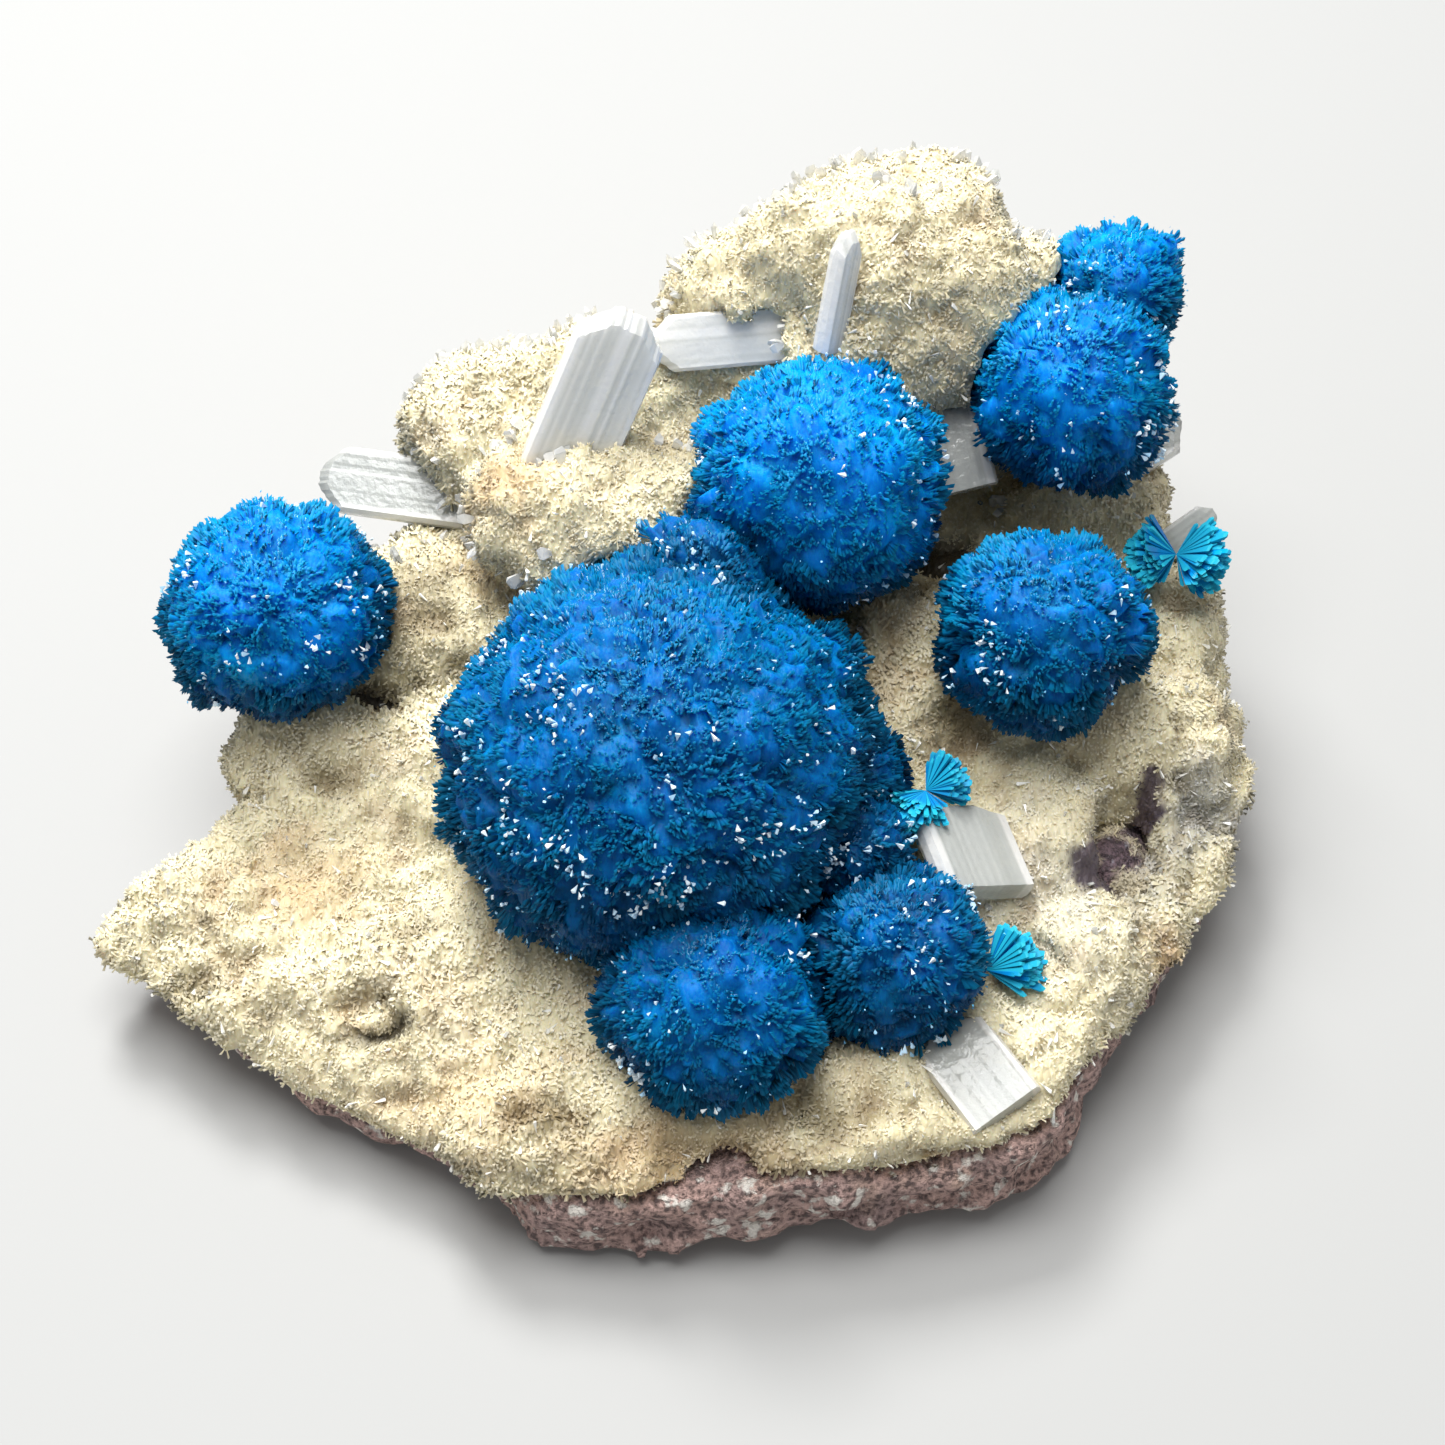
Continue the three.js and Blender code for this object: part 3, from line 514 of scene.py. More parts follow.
def fans_of_blades(form, root, axis, side, length, half_angle, in_each, random, marks):
    """Fans, each of a few blades spread in one plane from a root; one row of each array a fan."""
    count = len(root)
    places = np.tile(np.linspace(-1, 1, in_each), count)
    fan = np.repeat(np.arange(count), in_each)
    places = places + random.normal(size=len(places)) * 0.12
    turn = places * half_angle[fan]
    out = axis[fan] * np.cos(turn)[:, None] + side[fan] * np.sin(turn)[:, None]
    out = unit(out + random.normal(size=out.shape) * 0.05)
    lengths = length[fan] * random.uniform(0.84, 1.04, len(fan)) * (1 - 0.1 * places**2)
    across = unit(np.cross(np.cross(axis, side)[fan], out))
    gap = 2 * half_angle[fan] * lengths / (in_each - 1)
    spread = {mark: values[fan] for mark, values in marks.items()}
    spread["shade"] = (spread["shade"] + 0.25 * random.random(len(fan))) / 1.25
    return crystals(
        form,
        tips=root[fan] + out * lengths[:, None],
        axes=out,
        across=across,
        lengths=lengths,
        widths=gap * random.uniform(0.9, 1.4, len(fan)),
        depths=random.uniform(0.08, 0.2, len(fan)),
        chisels=random.uniform(0.08, 0.35, len(fan)),
        marks=spread,
    )


def surface_directions(one, number, random):
    """Directions spread over a ball down to its foot, so many on each square millimetre."""
    count = int(4 * math.pi * one.radius**2 * number)
    directions = ball_directions(count, random, loose=2.0)
    return directions[directions[:, 2] > -one.foot]


def small_fans(one, sheaves, random):
    """The small fans that a ball is covered with; those of a lobe stand out together."""
    directions = surface_directions(one, SMALL_FANS, random)
    count = len(directions)
    reach, crease = ball_reach(one, directions, sheaves)
    place = centre_of(one) + directions * reach[:, None]
    lobe = np.clip(noise(place, LOBE_SIZE, one.seed + 6) + 0.3, 0, 1)
    turns = math.pi * noise(place, 3.0, one.seed + 7) + random.normal(size=count) * 0.5
    axis = unit(directions + random.normal(size=(count, 3)) * 0.2)
    deep = random.uniform(0.9, 1.3, count)
    flank = np.clip(1.4 - directions[:, 2], 0.5, 1)
    stand = LOBE_STAND * lobe * flank * random.uniform(0.6, 1.0, count)
    fans = fans_of_blades(
        SPLINTER,
        root=centre_of(one) + directions * (reach - deep)[:, None],
        axis=axis,
        side=turned_across(axis, turns),
        length=deep + BODY_DEPTH + stand,
        half_angle=random.uniform(0.32, 0.5, count),
        in_each=SMALL_FAN_BLADES,
        random=random,
        marks={"painted_shade_and_tone": deep_tone_and_painted_shade(one, directions, crease * (1 - lobe)), "shade": stand},
    )
    return fans, directions


def painted_glints(one, sheaves, random):
    """Clusters of glassy crystal ends painted from pale blue to white: painted glints."""
    directions = surface_directions(one, GLINT_FLECKS, random)
    directions = directions[random.random(len(directions)) < np.clip(1.3 - directions[:, 2], 0.4, 1)]
    directions = directions[directions[:, 2] > -0.3]
    reach = ball_reach(one, directions, sheaves)[0]
    place = centre_of(one) + directions * reach[:, None]
    cluster = noise(place, 2.4, 81) + 0.7 * noise(place, 0.9, 82)
    kept = (cluster > 0.62) | (random.random(len(place)) < 0.12)
    place, directions, cluster = place[kept], directions[kept], cluster[kept]
    count = len(place)
    axes = unit(directions + random.normal(size=(count, 3)) * 0.8)
    axes = turned_up(axes, directions, 0.3)
    # how white each end is painted, as a glint
    white = np.clip((cluster + 0.2) / 0.9, 0, 1)
    size = (0.5 + 0.8 * white) * random.uniform(0.5, 1.1, count)
    return crystals(
        BLADE,
        tips=place + directions * 0.3 + axes * 0.25,
        axes=axes,
        across=turned_anyhow(axes, random),
        lengths=0.42 * size,
        widths=0.24 * size,
        depths=0.12 * size,
        chisels=random.uniform(0.02, 0.15, count),
        marks={"shade": (0.15 + 0.85 * white) * random.uniform(0.4, 1, count)},
    )


def cavansite_ball(name, one, body_look, blade_look):
    """A ball's body and its blades as two pieces; gives back its painted glints."""
    random = np.random.default_rng(one.seed + 100)
    sheaves = ball_sheaves(one)
    add_piece(name, ball_body(one, sheaves), body_look, one.node, smooth=True)
    fans, outward = small_fans(one, sheaves, random)
    mesh = add_piece(name + "_blades", fans, blade_look, one.node, smooth=True)
    shade_softly(mesh, outward, FAN_SOFTNESS)
    return painted_glints(one, sheaves, random)


def cavansite_balls(body_look, blade_look, painted_glint_look):
    flecks = [cavansite_ball(name, one, body_look, blade_look) for name, one in BALLS.items()]
    add_piece("cavansite_painted_glints", joined(flecks), painted_glint_look, "cavansite_cluster")


def cavansite_fan(name, node, hub, seed, wings, look):
    """A bow tie or a single fan: sheets of blades, turned up and down about the hub."""
    random = np.random.default_rng(seed)
    count = BOW_TIE_SHEETS
    parts = []
    for along, length, half_angle in wings:
        axis = unit(np.array(along, float))
        side = unit(np.cross((0, 0, 1), axis))
        rise = np.cross(axis, side)
        lift = np.linspace(-0.7, 0.7, count) * math.radians(half_angle)
        spread = axis * np.cos(lift)[:, None] + rise * np.sin(lift)[:, None]
        parts.append(fans_of_blades(
            BLADE,
            root=np.tile(MIDDLE + hub, (count, 1)),
            axis=unit(spread + random.normal(size=(count, 3)) * 0.05),
            side=np.tile(side, (count, 1)),
            length=length * random.uniform(0.7, 1.0, count),
            half_angle=np.radians(half_angle) * random.uniform(0.8, 1.0, count),
            in_each=SHEET_BLADES,
            random=random,
            marks={"painted_shade_and_tone": random.uniform(0, 0.6, count), "shade": random.random(count)},
        ))
    add_piece(name + "_blades", joined(parts), look, node)


# The druse: a knobbly crust with tiny crystals all over it


def patches(points):
    """Where the crust has stains, painted shade, hollows painted dark, or bare stone, from 0 to 1 at
    each point.
    """
    wander = 0.45 * noise(points, 1.9, 71) + 0.25 * noise(points, 0.8, 72)
    marks = {}
    for kind, (_, edge, places) in PATCHES.items():
        marks[kind] = np.zeros(len(points))
        for strength, middle, radii in places:
            away = np.linalg.norm((points[:, :2] - MIDDLE[:2] - middle) / radii, axis=1)
            share = strength * np.clip((1.1 - away + wander) / edge, 0, 1)
            marks[kind] = np.maximum(marks[kind], share)
    return marks


def druse_crust(look):
    """The crust with its knobs, dents and hollows, drawn in close round the foot of each ball."""
    points, normals, triangles = rounded_form("stilbite_druse", DRUSE_VOXEL, rounds=6)
    outward = np.clip(normals[:, 2] * 2 + 1.2, 0, 1)
    large = lumps(points, LARGE_KNOBS, 1)[0]
    small = lumps(points, SMALL_KNOBS, 2)[0]
    rough = 0.3 * noise(points, 0.9, 3)
    rim = np.clip(1.2 - 2 * np.abs(normals[:, 2]), 0, 1) * 0.7 * noise(points, 2.3, 9)
    lift = (0.9 * large + 0.65 * small - 0.95 + rough + rim) * outward
    stains_and_shade = patches(points)
    lift -= (HOLLOW_DEPTH * stains_and_shade["hollow"] + PAINTED_SHADE_DEPTH * stains_and_shade["painted_shade"]) * outward
    gap, toward = ball_gap(points)
    seat = np.clip(2.2 - gap, 0, 1)
    facing = np.clip(2 * np.sum(normals * toward, axis=1), 0, 1)
    snug = np.clip(gap, 0, 1.8) * np.clip((3.4 - gap) / 1.6, 0, 1) * facing
    lift = lift * (1 - 0.5 * seat) + 0.3 * seat
    points = points + normals * lift[:, None] + toward * snug[:, None]
    marks = {
        # painted shade: darker in the creases between the knobs, where shade falls
        "painted_shade_and_tone": np.clip((0.62 - 0.5 * large - 0.5 * small) / 0.34, 0, 1),
        "rise": np.full(len(points), 0.3),
        **stains_and_shade,
    }
    crust = points, triangles, marks
    add_piece("druse_crust", crust, look, "stilbite_druse", smooth=True)
    return crust


def scattered(surface, count, random):
    """Points spread by area over a surface, each with its normal and the number of a mesh point."""
    points, triangles, _ = surface
    corner = points[triangles]
    cross = np.cross(corner[:, 1] - corner[:, 0], corner[:, 2] - corner[:, 0])
    area = np.linalg.norm(cross, axis=1) / 2
    normal = cross / np.maximum(2 * area, 1e-9)[:, None]
    open_area = area * np.clip(normal[:, 2] * 3 + 2.3, 0, 1)
    chosen = random.choice(len(triangles), count, p=open_area / open_area.sum())
    share = random.random((count, 2))
    over = share.sum(axis=1) > 1
    share[over] = 1 - share[over]
    first, second = share[:, :1], share[:, 1:]
    place = (
        corner[chosen, 0] * (1 - first - second)
        + corner[chosen, 1] * first
        + corner[chosen, 2] * second
    )
    return place, normal[chosen], triangles[chosen, 0]


def druse_crystals(crust, look):
    """A felt of splinters, lying every way, in two pieces."""
    on_crust = crust[2]
    random = np.random.default_rng(41)
    place, normal, corner = scattered(crust, SPLINTERS, random)
    grows = ball_gap(place)[0] > 0.2
    place, normal, corner = place[grows], normal[grows], corner[grows]
    count = len(place)
    lean = np.stack([noise(place, 1.4, 51 + axis) for axis in range(3)], axis=1)
    axes = unit(normal * 0.5 + lean * 0.6 + random.normal(size=(count, 3)) * 0.6)
    axes = turned_up(axes, normal, 0.3)
    bare = np.maximum(on_crust["stone"][corner], on_crust["hollow"][corner])
    grown = np.clip(1 + 0.4 * noise(place, 6, 7), 0.6, 1.5) * (1 - 0.5 * bare)
    stand = random.uniform(0.12, 0.55, count) * grown
    shape = {
        "tips": place + axes * stand[:, None],
        "axes": axes,
        "across": turned_anyhow(axes, random),
        "lengths": stand + 0.3,
        "widths": random.uniform(0.1, 0.22, count) * grown,
        "depths": random.uniform(0.1, 0.18, count) * grown,
        "chisels": random.uniform(0.02, 0.12, count),
    }
    marks = {"painted_shade_and_tone": on_crust["painted_shade_and_tone"][corner], "shade": random.uniform(0, 1, count)}
    marks.update({kind: on_crust[kind][corner] for kind in PATCHES})
    left = place[:, 0] < np.median(place[:, 0])
    for name, part in (("druse_crystals_left", left), ("druse_crystals_right", ~left)):
        built = crystals(
            SPLINTER,
            **{key: values[part] for key, values in shape.items()},
            marks={mark: values[part] for mark, values in marks.items()},
        )
        mesh = add_piece(name, built, look, "stilbite_druse", smooth=True)
        shade_softly(mesh, normal[part], FELT_SOFTNESS)


def white_plates(crust, look):
    """Small white plates that lie about in the felt."""
    random = np.random.default_rng(47)
    place, normal, corner = scattered(crust, PLATES, random)
    grows = (ball_gap(place)[0] > 0.4) & (crust[2]["stone"][corner] < 0.5)
    place, normal = place[grows], normal[grows]
    count = len(place)
    axes = unit(normal * 0.55 + random.normal(size=(count, 3)) * 0.7)
    axes = turned_up(axes, normal, 0.25)
    size = random.uniform(0.6, 1.2, count)
    built = crystals(
        BLADE,
        tips=place + axes * (0.5 * size)[:, None] + normal * 0.1,
        axes=axes,
        across=turned_anyhow(axes, random),
        lengths=0.95 * size,
        widths=0.22 * size,
        depths=0.09 * size,
        chisels=0.1 * size,
        marks={},
    )
    add_piece("druse_plates", built, look, "stilbite_druse")


def clear_tips(crust, look):
    """Larger clear crystals along the crests and left flanks of the high mounds, and a few strays."""
    random = np.random.default_rng(43)
    place, normal, _ = scattered(crust, TIPS, random)
    crest = (place[:, 2] > CREST_HEIGHT) & (normal[:, 1] > 0.3) & (normal[:, 2] > 0.1)
    flank = (place[:, 2] > FLANK_HEIGHT) & (np.abs(normal[:, 2]) < 0.3) & (normal[:, 0] < -0.6)
    stray = random.random(len(place)) < 0.035
    kept = (crest | flank | stray) & (ball_gap(place)[0] > 0.6) & (random.random(len(place)) < 0.6)
    place, normal = place[kept], normal[kept]
    size = np.where(crest | flank, 1.25, 0.6)[kept]
    count = len(place)
    axes = unit(normal + random.normal(size=(count, 3)) * 0.35)
    stand = random.uniform(0.35, 0.95, count) * size
    built = crystals(
        BLADE,
        tips=place + axes * stand[:, None],
        axes=axes,
        across=turned_anyhow(axes, random),
        lengths=stand + 0.7,
        widths=random.uniform(0.35, 0.7, count) * size,
        depths=random.uniform(0.16, 0.3, count) * size,
        chisels=random.uniform(0.2, 0.45, count) * size,
        marks={"shade": random.uniform(0.4, 1, count)},
    )
    add_piece("druse_clear_tips", built, look, "stilbite_druse")


# The basalt matrix: a granular broken stone


def basalt_matrix(look):
    """The matrix; gives back its knob, where the crust's crystals grow round the bare patch."""
    points, normals, triangles = rounded_form("basalt_matrix", BASALT_VOXEL, rounds=2)
    chips = 0.5 * noise(points, 3.1, 11) + 0.5 * noise(points, 1.4, 12)
    grain = 0.25 * noise(points, 0.8, 13)
    side = np.clip(points[:, 2] / 0.8, 0, 1)
    points = points + normals * ((chips + grain - 0.1) * side)[:, None]
    away = np.linalg.norm((points - MIDDLE - BARE_PATCH)[:, :2], axis=1)
    knob = np.clip(1 - (away / BARE_RADIUS) ** 2, 0, 1) * (points[:, 2] > 5)
    points[:, 2] = np.maximum(points[:, 2] + knob * (0.4 + 0.6 * noise(points, 1.7, 14)), 0)
    # the crystals on the knob take half of the crust's painted shade
    marks = {"painted_shade_and_tone": np.full(len(points), 0.5), **patches(points)}
    marks["overgrown"] = np.clip(4 * knob, 0, 1) * (1 - marks["stone"])
    stone = points, triangles, marks
    add_piece("basalt_stone", stone, look, "basalt_matrix", smooth=True)
    on_knob = knob[triangles].min(axis=1) > 0
    return points, triangles[on_knob], marks


# Clear stilbite blades: thick plates of lengthwise strips with a chisel end

STRIP_WIDTH = 0.1
LEAST_STRIPS = 14
BLADE_STEPS = 14  # from a blade's root to its end


def node_axes(node):
    """A node's middle, its long, wide and thin directions as rows, and its half sizes along them."""
    points, _, _ = mesh_arrays(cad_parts[node].data)
    middle = (points.min(axis=0) + points.max(axis=0)) / 2
    along, _, through = np.linalg.svd(points - points.mean(axis=0), full_matrices=False)[2]
    if along[2] < 0:
        along = -along
    axes = np.stack([along, np.cross(through, along), through])
    local = (points - middle) @ axes.T
    low, high = local.min(axis=0), local.max(axis=0)
    return middle + (low + high) / 2 @ axes, axes, (high - low) / 2


def stilbite_blade(node, look, seed):
    """A thick plate of lengthwise strips; its cross-section is one row of points each step."""
    milk_and_painted_light = BLADE_MILK_AND_PAINTED_LIGHT.get(node, GREYISH_MILK_AND_PAINTED_SHADE)
    random = np.random.default_rng(seed)
    middle, (along, across, through), half = node_axes(node)
    strips = max(LEAST_STRIPS, int(half[1] / STRIP_WIDTH))
    share = np.linspace(-1, 1, strips + 1)
    streaks = milk_and_painted_light * random.uniform(0.4, 1, strips + 1)
    height = 1 - 0.02 * random.random(strips + 1)
    height -= 0.03 * (noise(np.outer(share, (3, 0, 0)), 1, seed) > 0)
    height[0] = height[-1] = 0.4
    ends = 1 - 0.03 * random.random(strips + 1) - 0.3 * np.clip((np.abs(share) - 0.3) / 0.7, 0, 1)
    sheets = []
    for sign in (1, -1):
        rows = []
        for step in range(BLADE_STEPS + 1):
            forward = -1 + (1 + ends) * step / BLADE_STEPS
            chisel = np.clip((ends - forward) / 0.1, 0.25, 1)
            wave = 0.015 * noise(np.stack([forward * 4, share * 3, share * 0 + seed], 1), 1, seed)
            rows.append(
                middle
                + along * (forward * half[0])[:, None]
                + across * (share * half[1])[:, None]
                + through * (sign * (height + wave) * chisel * half[2])[:, None]
            )
        sheets.append(np.array(rows))
    points, triangles = closed_sheet(*sheets)
    # The outer strips are painted white: painted highlights along each blade's edges, over its milky
    # streaks
    streaks_and_painted_edge_highlights = np.maximum(streaks, np.abs(share) > 0.8)
    marks = {"shade": np.tile(streaks_and_painted_edge_highlights, 2 * (BLADE_STEPS + 1))}
    add_piece(node + "_crystal", (points, triangles, marks), look, node)


def closed_sheet(top, under):
    """Two grids of points of one size, joined round their edges into a closed solid."""
    rows, columns = top.shape[:2]
    points = np.concatenate([top.reshape(-1, 3), under.reshape(-1, 3)])
    under_start = rows * columns
    index = np.arange(rows * columns).reshape(rows, columns)
    a, b = index[:-1, :-1].ravel(), index[:-1, 1:].ravel()
    c, d = index[1:, 1:].ravel(), index[1:, :-1].ravel()
    upper = np.concatenate([np.stack([a, d, c], 1), np.stack([a, c, b], 1)])
    lower = upper[:, ::-1] + under_start
    rim = np.concatenate([index[0], index[1:, -1], index[-1, -2::-1], index[-2:0:-1, 0]])
    after = np.roll(rim, -1)
    wall = np.concatenate([
        np.stack([rim, after, after + under_start], 1),
        np.stack([rim, after + under_start, rim + under_start], 1),
    ])
    return points, np.concatenate([upper, lower, wall])


# Materials

# The sockets of a Mix node that hold its share, its two colours and its result
MIX_SHARE, MIX_FIRST, MIX_SECOND, MIX_RESULT = 0, 6, 7, 2
COLOUR, NUMBER = "NodeSocketColor", "NodeSocketFloat"


def fill(tree, target, value):
    """Feeds a socket from another one, or sets it to a plain value."""
    if isinstance(value, bpy.types.NodeSocket):
        tree.links.new(value, target)
    else:
        target.default_value = value


class Look:
    """A material with a Principled BSDF, and short ways to add and join its nodes."""

    def __init__(self, name, **plain):
        self.material = bpy.data.materials.new(name)
        self.material.use_nodes = True
        self.tree = self.material.node_tree
        self.shader = self.tree.nodes["Principled BSDF"]
        for socket, value in plain.items():
            self.shader.inputs[socket.replace("_", " ")].default_value = value

    def mark(self, name):
        node = self.tree.nodes.new("ShaderNodeAttribute")
        node.attribute_name = name
        return node.outputs["Fac"]

    def group(self, name, **values):
        """The outputs of a node group whose inputs are filled with the values."""
        node = self.tree.nodes.new("ShaderNodeGroup")
        node.node_tree = bpy.data.node_groups[name]
        for socket, value in values.items():
            fill(self.tree, node.inputs[socket.replace("_", " ")], value)
        return node.outputs

    def bump(self, height, distance):
        node = self.tree.nodes.new("ShaderNodeBump")
        node.inputs["Distance"].default_value = distance * MM
        self.tree.links.new(height, node.inputs["Height"])
        self.feed(node.outputs["Normal"], "Normal")

    def feed(self, output, socket="Base Color"):
        self.tree.links.new(output, self.shader.inputs[socket])


def new_group(name, inputs, outputs):
    """A node group, and the sockets that its nodes take from and give to."""
    tree = bpy.data.node_groups.new(name, "ShaderNodeTree")
    for way, sockets in (("INPUT", inputs), ("OUTPUT", outputs)):
        for socket, kind in sockets.items():
            tree.interface.new_socket(socket, in_out=way, socket_type=kind)
    return tree, tree.nodes.new("NodeGroupInput").outputs, tree.nodes.new("NodeGroupOutput").inputs


def mix_colours(tree, share, first, second, blend="MIX"):
    node = tree.nodes.new("ShaderNodeMix")
    node.data_type = "RGBA"
    node.blend_type = blend
    for socket, value in ((MIX_SHARE, share), (MIX_FIRST, first), (MIX_SECOND, second)):
        fill(tree, node.inputs[socket], value)
    return node.outputs[MIX_RESULT]


def combined(tree, operation, first, second):
    node = tree.nodes.new("ShaderNodeMath")
    node.operation = operation
    for socket, value in enumerate((first, second)):
        fill(tree, node.inputs[socket], value)
    return node.outputs[0]


def stretched(tree, value, low, high):
    """A value stretched so that it is 0 at the low level and 1 at the high one."""
    node = tree.nodes.new("ShaderNodeMapRange")
    node.inputs["From Min"].default_value = low
    node.inputs["From Max"].default_value = high
    tree.links.new(value, node.inputs["Value"])
    return node.outputs["Result"]


def noise_map(tree, size, detail=3.0, low=0.35, high=0.65):
    """A mask from noise with swells of a size in millimetres, stretched between two levels."""
    place = tree.nodes.new("ShaderNodeTexCoord")
    node = tree.nodes.new("ShaderNodeTexNoise")
    node.inputs["Scale"].default_value = 1 / (size * MM)
    node.inputs["Detail"].default_value = detail
    tree.links.new(place.outputs["Object"], node.inputs["Vector"])
    return stretched(tree, node.outputs["Fac"], low, high)


def patchy_group():
    """Two colours in patches, and a third in fewer and smaller ones."""
    colours = {"Ground": COLOUR, "Patch": COLOUR, "Stain": COLOUR}
    tree, given, made = new_group("patchy colour", colours, {"Colour": COLOUR})
    base = mix_colours(tree, noise_map(tree, 6), given["Ground"], given["Patch"])
    stain = noise_map(tree, 4, low=0.56, high=0.7)
    tree.links.new(mix_colours(tree, stain, base, given["Stain"]), made["Colour"])


def crystal_group():
    """A crystal's colour: its own shade, darker towards its root, and turned deep by painted shade and
    deeper tone where its shading mark is high.
    """
    colours = {"Body": COLOUR, "Tip": COLOUR, "Deep": COLOUR}
    numbers = {"Shade": NUMBER, "Rise": NUMBER, "Valley": NUMBER, "Own shade": NUMBER}
    tree, given, made = new_group("crystal shade", {**colours, **numbers}, {"Colour": COLOUR})
    near_tip = stretched(tree, given["Rise"], 0.7, 1.0)
    body = mix_colours(tree, near_tip, given["Body"], given["Tip"])
    dark = mix_colours(tree, given["Valley"], body, given["Deep"])
    own = combined(tree, "MULTIPLY", given["Shade"], given["Own shade"])
    tree.links.new(mix_colours(tree, own, dark, given["Tip"]), made["Colour"])


def felt_group():
    """A felt of tiny crystals: a height, and a random number for each crystal."""
    outputs = {"Height": NUMBER, "Each": NUMBER}
    tree, given, made = new_group("felted crystals", {"Size": NUMBER}, outputs)
    place = tree.nodes.new("ShaderNodeTexCoord")
    scale = combined(tree, "DIVIDE", 1 / MM, given["Size"])
    heights, numbers = [], []
    for turn in ((0.9, 0.3, 0.0), (0.2, 1.2, 0.8), (1.4, 0.1, 2.0)):
        mapping = tree.nodes.new("ShaderNodeMapping")
        mapping.inputs["Rotation"].default_value = turn
        mapping.inputs["Scale"].default_value = (1.0, 0.55, 0.22)
        cells = tree.nodes.new("ShaderNodeTexVoronoi")
        tree.links.new(place.outputs["Object"], mapping.inputs["Vector"])
        tree.links.new(mapping.outputs["Vector"], cells.inputs["Vector"])
        tree.links.new(scale, cells.inputs["Scale"])
        heights.append(cells.outputs["Distance"])
        numbers.append(cells.outputs["Color"])
    first_share = noise_map(tree, 1.6, detail=2, low=0.46, high=0.54)
    second_share = noise_map(tree, 1.1, detail=2, low=0.52, high=0.58)
    blended = []
    for first, second, third in (heights, numbers):
        two = mix_colours(tree, first_share, first, second)
        blended.append(mix_colours(tree, second_share, two, third))
    height = tree.nodes.new("ShaderNodeInvert")
    tree.links.new(blended[0], height.inputs["Color"])
    tree.links.new(height.outputs["Color"], made["Height"])
    each = tree.nodes.new("ShaderNodeSeparateColor")
    tree.links.new(blended[1], each.inputs["Color"])
    tree.links.new(each.outputs["Red"], made["Each"])


def glint_group():
    """Roughness: a share of the crystals, picked by their own shade, is polished."""
    numbers = {"Shade": NUMBER, "Satin": NUMBER, "Polished": NUMBER, "Share": NUMBER}
    tree, given, made = new_group("polished few", numbers, {"Roughness": NUMBER})
    mixed = tree.nodes.new("ShaderNodeMix")
    below = combined(tree, "LESS_THAN", given["Shade"], given["Share"])
    for socket, value in (("Factor", below), ("A", given["Satin"]), ("B", given["Polished"])):
        tree.links.new(value, mixed.inputs[socket])
    tree.links.new(mixed.outputs["Result"], made["Roughness"])


def crystal_colour(look, patchy, shade=None, **given):
    """The colour of crystals: their patchy colour, shaded by their own marks, painted shade among them.
    """
    shaded = look.group(
        "crystal shade", Body=look.group("patchy colour", **patchy)["Colour"],
        Shade=shade or look.mark("shade"), Rise=look.mark("rise"), Valley=look.mark("painted_shade_and_tone"),
        **given,
    )
    return shaded["Colour"]


def glints(look, satin, share):
    """Makes a share of the crystals shine, and leaves the others satin."""
    few = look.group(
        "polished few", Shade=look.mark("shade"), Satin=satin, Polished=0.12, Share=share,
    )
    look.feed(few["Roughness"], "Roughness")


def cavansite_look():
    look = Look(
        "cavansite", Roughness=0.5, IOR=1.5, Specular_IOR_Level=0.1, Subsurface_Weight=0.8,
        Subsurface_Scale=1.6 * MM, Subsurface_Radius=(0.1, 0.5, 1.0),
    )
    look.feed(crystal_colour(look, AZURE, Tip=(0.0, 0.3, 0.7, 1), Deep=DEEP_BLUE, Own_shade=0.1))
    look.bump(look.group("felted crystals", Size=0.3)["Height"], 0.08)
    return look.material


def cavansite_blade_look(name, tip, own_shade):
    look = Look(name, IOR=1.5, Specular_IOR_Level=0.18)
    look.feed(crystal_colour(look, AZURE, Tip=tip, Deep=DEEP_BLUE, Own_shade=own_shade))
    glints(look, satin=0.5, share=0.2)
    return look.material


def painted_glint_look():
    """Painted glints: glassy ends painted from pale blue to white."""
    look = Look("painted glints", Roughness=0.12, IOR=1.5)
    look.feed(mix_colours(look.tree, look.mark("shade"), PAINTED_GLINT_BLUE, PAINTED_GLINT_WHITE))
    return look.material


def cream(look, **given):
    """Feeds the colour of the druse, multiplied in its patches: tawny stains that partly stand for
    painted shade, grey stains, painted shade, hollows painted dark as their shadow, and bare stone.
    """
    colour = crystal_colour(look, CREAM, Own_shade=0.2, **given)
    for kind, (stain_and_shade, _, _) in PATCHES.items():
        colour = mix_colours(look.tree, look.mark(kind), colour, stain_and_shade, "MULTIPLY")
    look.feed(colour)


def druse_look():
    look = Look(
        "cream druse", Roughness=0.5, IOR=1.45, Subsurface_Weight=0.5,
        Subsurface_Scale=0.9 * MM, Subsurface_Radius=(1.0, 0.8, 0.5),
    )
    felt = look.group("felted crystals", Size=0.4)
    # Deep is the colour of the painted shade in the crust's creases
    cream(look, Tip=(0.9, 0.84, 0.68, 1), Deep=(0.46, 0.34, 0.18, 1), shade=felt["Each"])
    look.bump(felt["Height"], 0.2)
    return look.material


def druse_crystal_look():
    look = Look("cream druse crystals", IOR=1.45, Specular_IOR_Level=0.3)
    # Deep is the colour of the painted shade in the creases under these crystals
    cream(look, Tip=(0.93, 0.87, 0.7, 1), Deep=(0.58, 0.46, 0.28, 1))
    glints(look, satin=0.4, share=0.3)
    return look.material


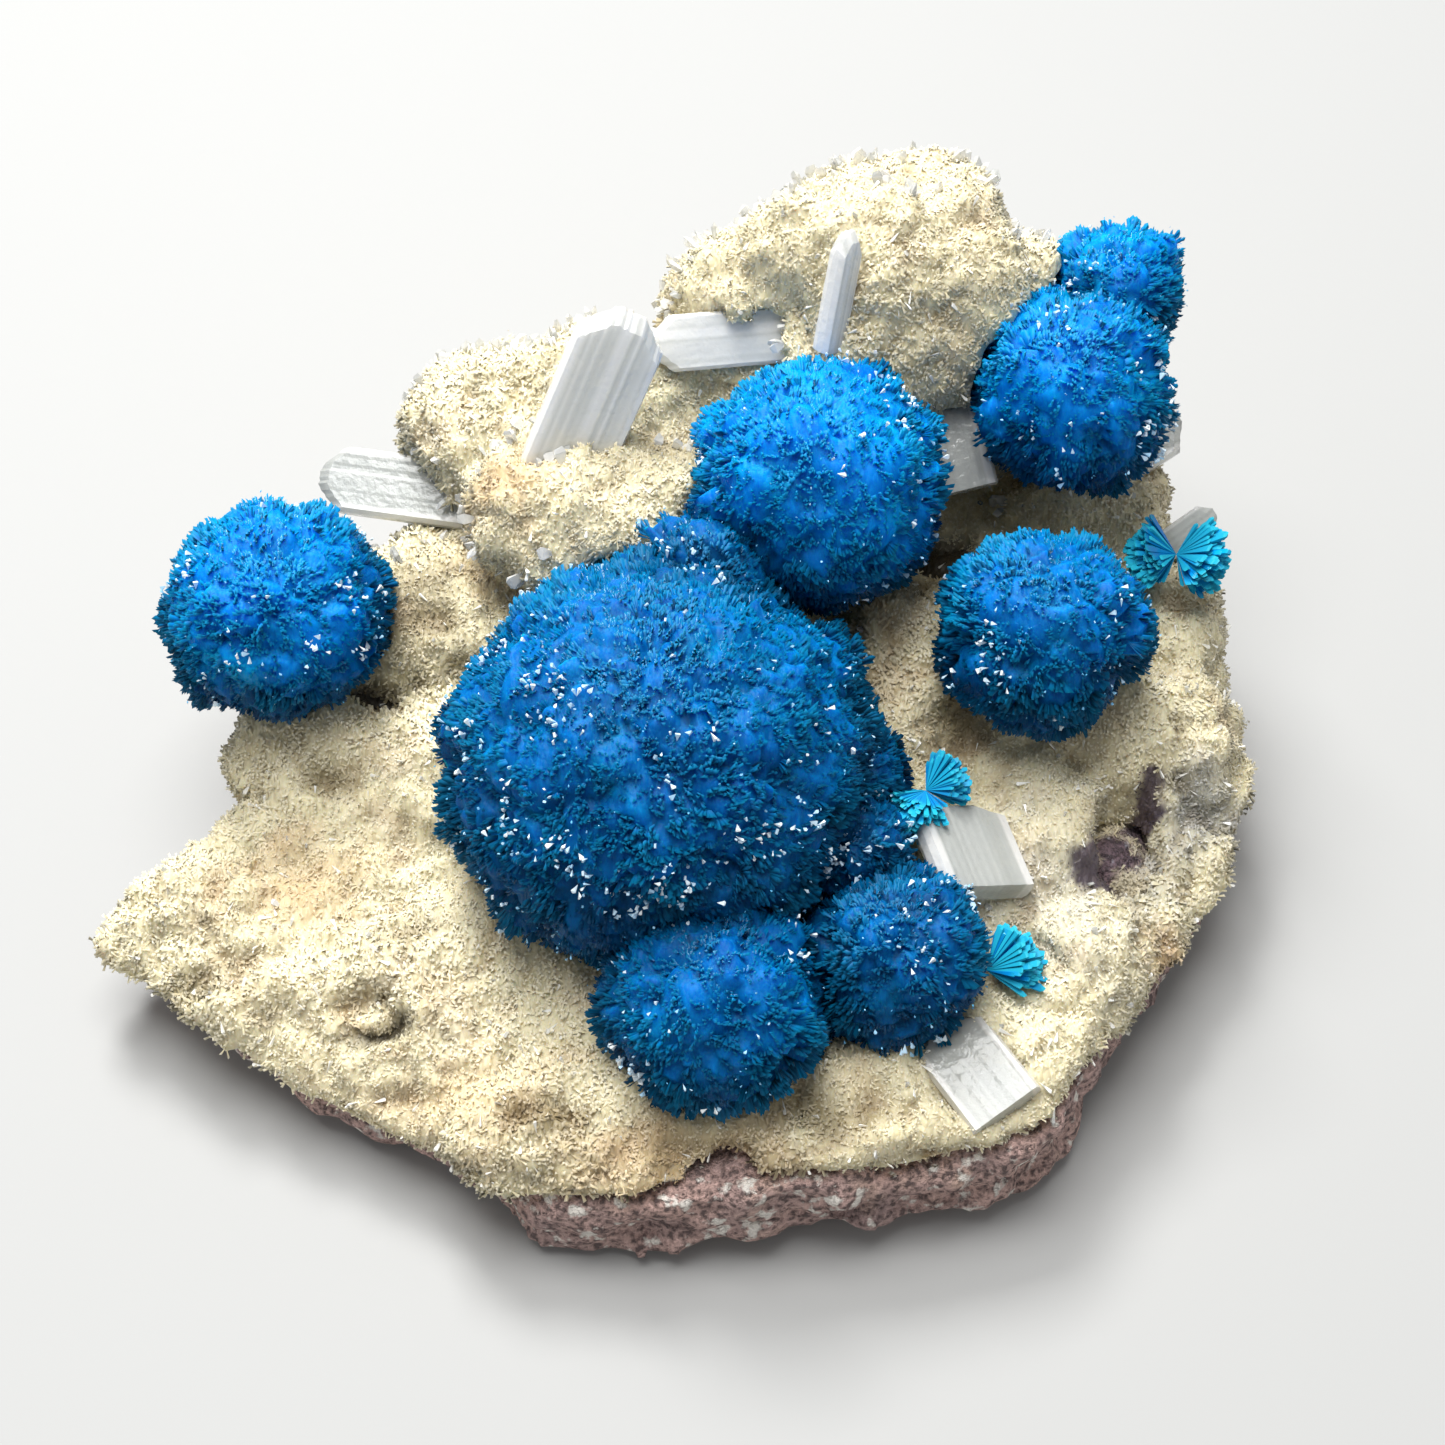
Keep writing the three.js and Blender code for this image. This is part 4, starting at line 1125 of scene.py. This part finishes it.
def clear_look(name, clear, roughness, cloudy):
    """Clear to milky stilbite, streaked lengthwise by each strip's own shade."""
    look = Look(
        name, Roughness=roughness, IOR=1.5, Transmission_Weight=clear, Subsurface_Weight=cloudy,
        Subsurface_Scale=2 * MM, Subsurface_Radius=(1, 1, 1),
    )
    look.feed(mix_colours(look.tree, look.mark("shade"), CLEAR_GREY, MILK_WHITE))
    look.bump(noise_map(look.tree, 0.5), 0.02)
    return look.material


def basalt_look():
    look = Look("purple brown basalt", Roughness=0.85, IOR=1.45)
    tree = look.tree
    ground = look.group("patchy colour", **STONE)["Colour"]
    grain = mix_colours(tree, noise_map(tree, 0.4, low=0.45), ground, STONE_GRAIN)
    specks = noise_map(tree, 1.1, detail=6, low=0.57, high=0.64)
    stone = mix_colours(tree, specks, grain, STONE_SPECKS)
    stone = mix_colours(tree, look.mark("stone"), stone, BARE_DYE, "MULTIPLY")
    look.feed(mix_colours(tree, look.mark("overgrown"), stone, OVERGROWN))
    look.bump(noise_map(tree, 0.4), 0.3)
    return look.material


# Floor, lights and camera


def studio():
    corners = [(x * FLOOR_REACH * MM, y * FLOOR_REACH * MM, 0) for x, y in FLOOR_CORNERS]
    mesh = bpy.data.meshes.new("floor")
    mesh.from_pydata(corners, [], [range(len(corners))])
    grey = Look("pale floor", Base_Color=(0.42, 0.42, 0.41, 1), Roughness=0.7)
    mesh.materials.append(grey.material)
    floor = new_object("floor", mesh)
    world = bpy.data.worlds.new("studio")
    world.use_nodes = True
    background = world.node_tree.nodes["Background"]
    background.inputs["Color"].default_value = ROOM_COLOUR
    background.inputs["Strength"].default_value = ROOM_LIGHT
    bpy.context.scene.world = world
    bpy.context.scene.view_settings.view_transform = "Standard"
    for name, place, size, power in LIGHTS:
        light = bpy.data.lights.new(name, "AREA")
        light.size = size * MM
        light.energy = power
        lamp = new_object(name, light)
        lamp.location = Vector(place) * MM
        lamp.rotation_euler = (Vector(LIT_PLACE) - Vector(place)).to_track_quat("-Z", "Y").to_euler()


def camera():
    data = bpy.data.cameras.new("camera")
    data.angle = math.radians(CAMERA_ANGLE)
    data.clip_start = CAMERA_NEAR * MM
    made = new_object("camera", data)
    made.location = (MIDDLE + CAMERA_PLACE) * MM
    made.rotation_euler = (math.radians(CAMERA_TILT), 0, 0)
    bpy.context.scene.camera = made


def main():
    camera()
    studio()
    for make_group in (crystal_group, patchy_group, glint_group, felt_group):
        make_group()
    blue = cavansite_look()
    bright_blue = cavansite_blade_look("cavansite blades", tip=(0.0, 0.33, 0.56, 1), own_shade=0.5)
    teal = cavansite_blade_look("teal cavansite", tip=(0.02, 0.5, 0.62, 1), own_shade=0.85)
    white = Look("white plates", Base_Color=(0.93, 0.92, 0.86, 1), Roughness=0.15, IOR=1.5).material
    milky = clear_look("milky stilbite", clear=0.2, roughness=0.16, cloudy=0.5)
    greyish = clear_look("greyish stilbite", clear=0.4, roughness=0.14, cloudy=0.2)
    clear = clear_look("clear stilbite", clear=0.35, roughness=0.1, cloudy=0.2)
    knob = basalt_matrix(basalt_look())
    crust = druse_crust(druse_look())
    druse_crystals(joined([crust, knob]), druse_crystal_look())
    white_plates(crust, white)
    clear_tips(crust, clear)
    cavansite_balls(blue, bright_blue, painted_glint_look())
    for name, fan in FANS.items():
        cavansite_fan(name, *fan, teal)
    for seed, node in enumerate(BLADE_NODES, start=60):
        stilbite_blade(node, milky if node in BLADE_MILK_AND_PAINTED_LIGHT else greyish, seed)


main()
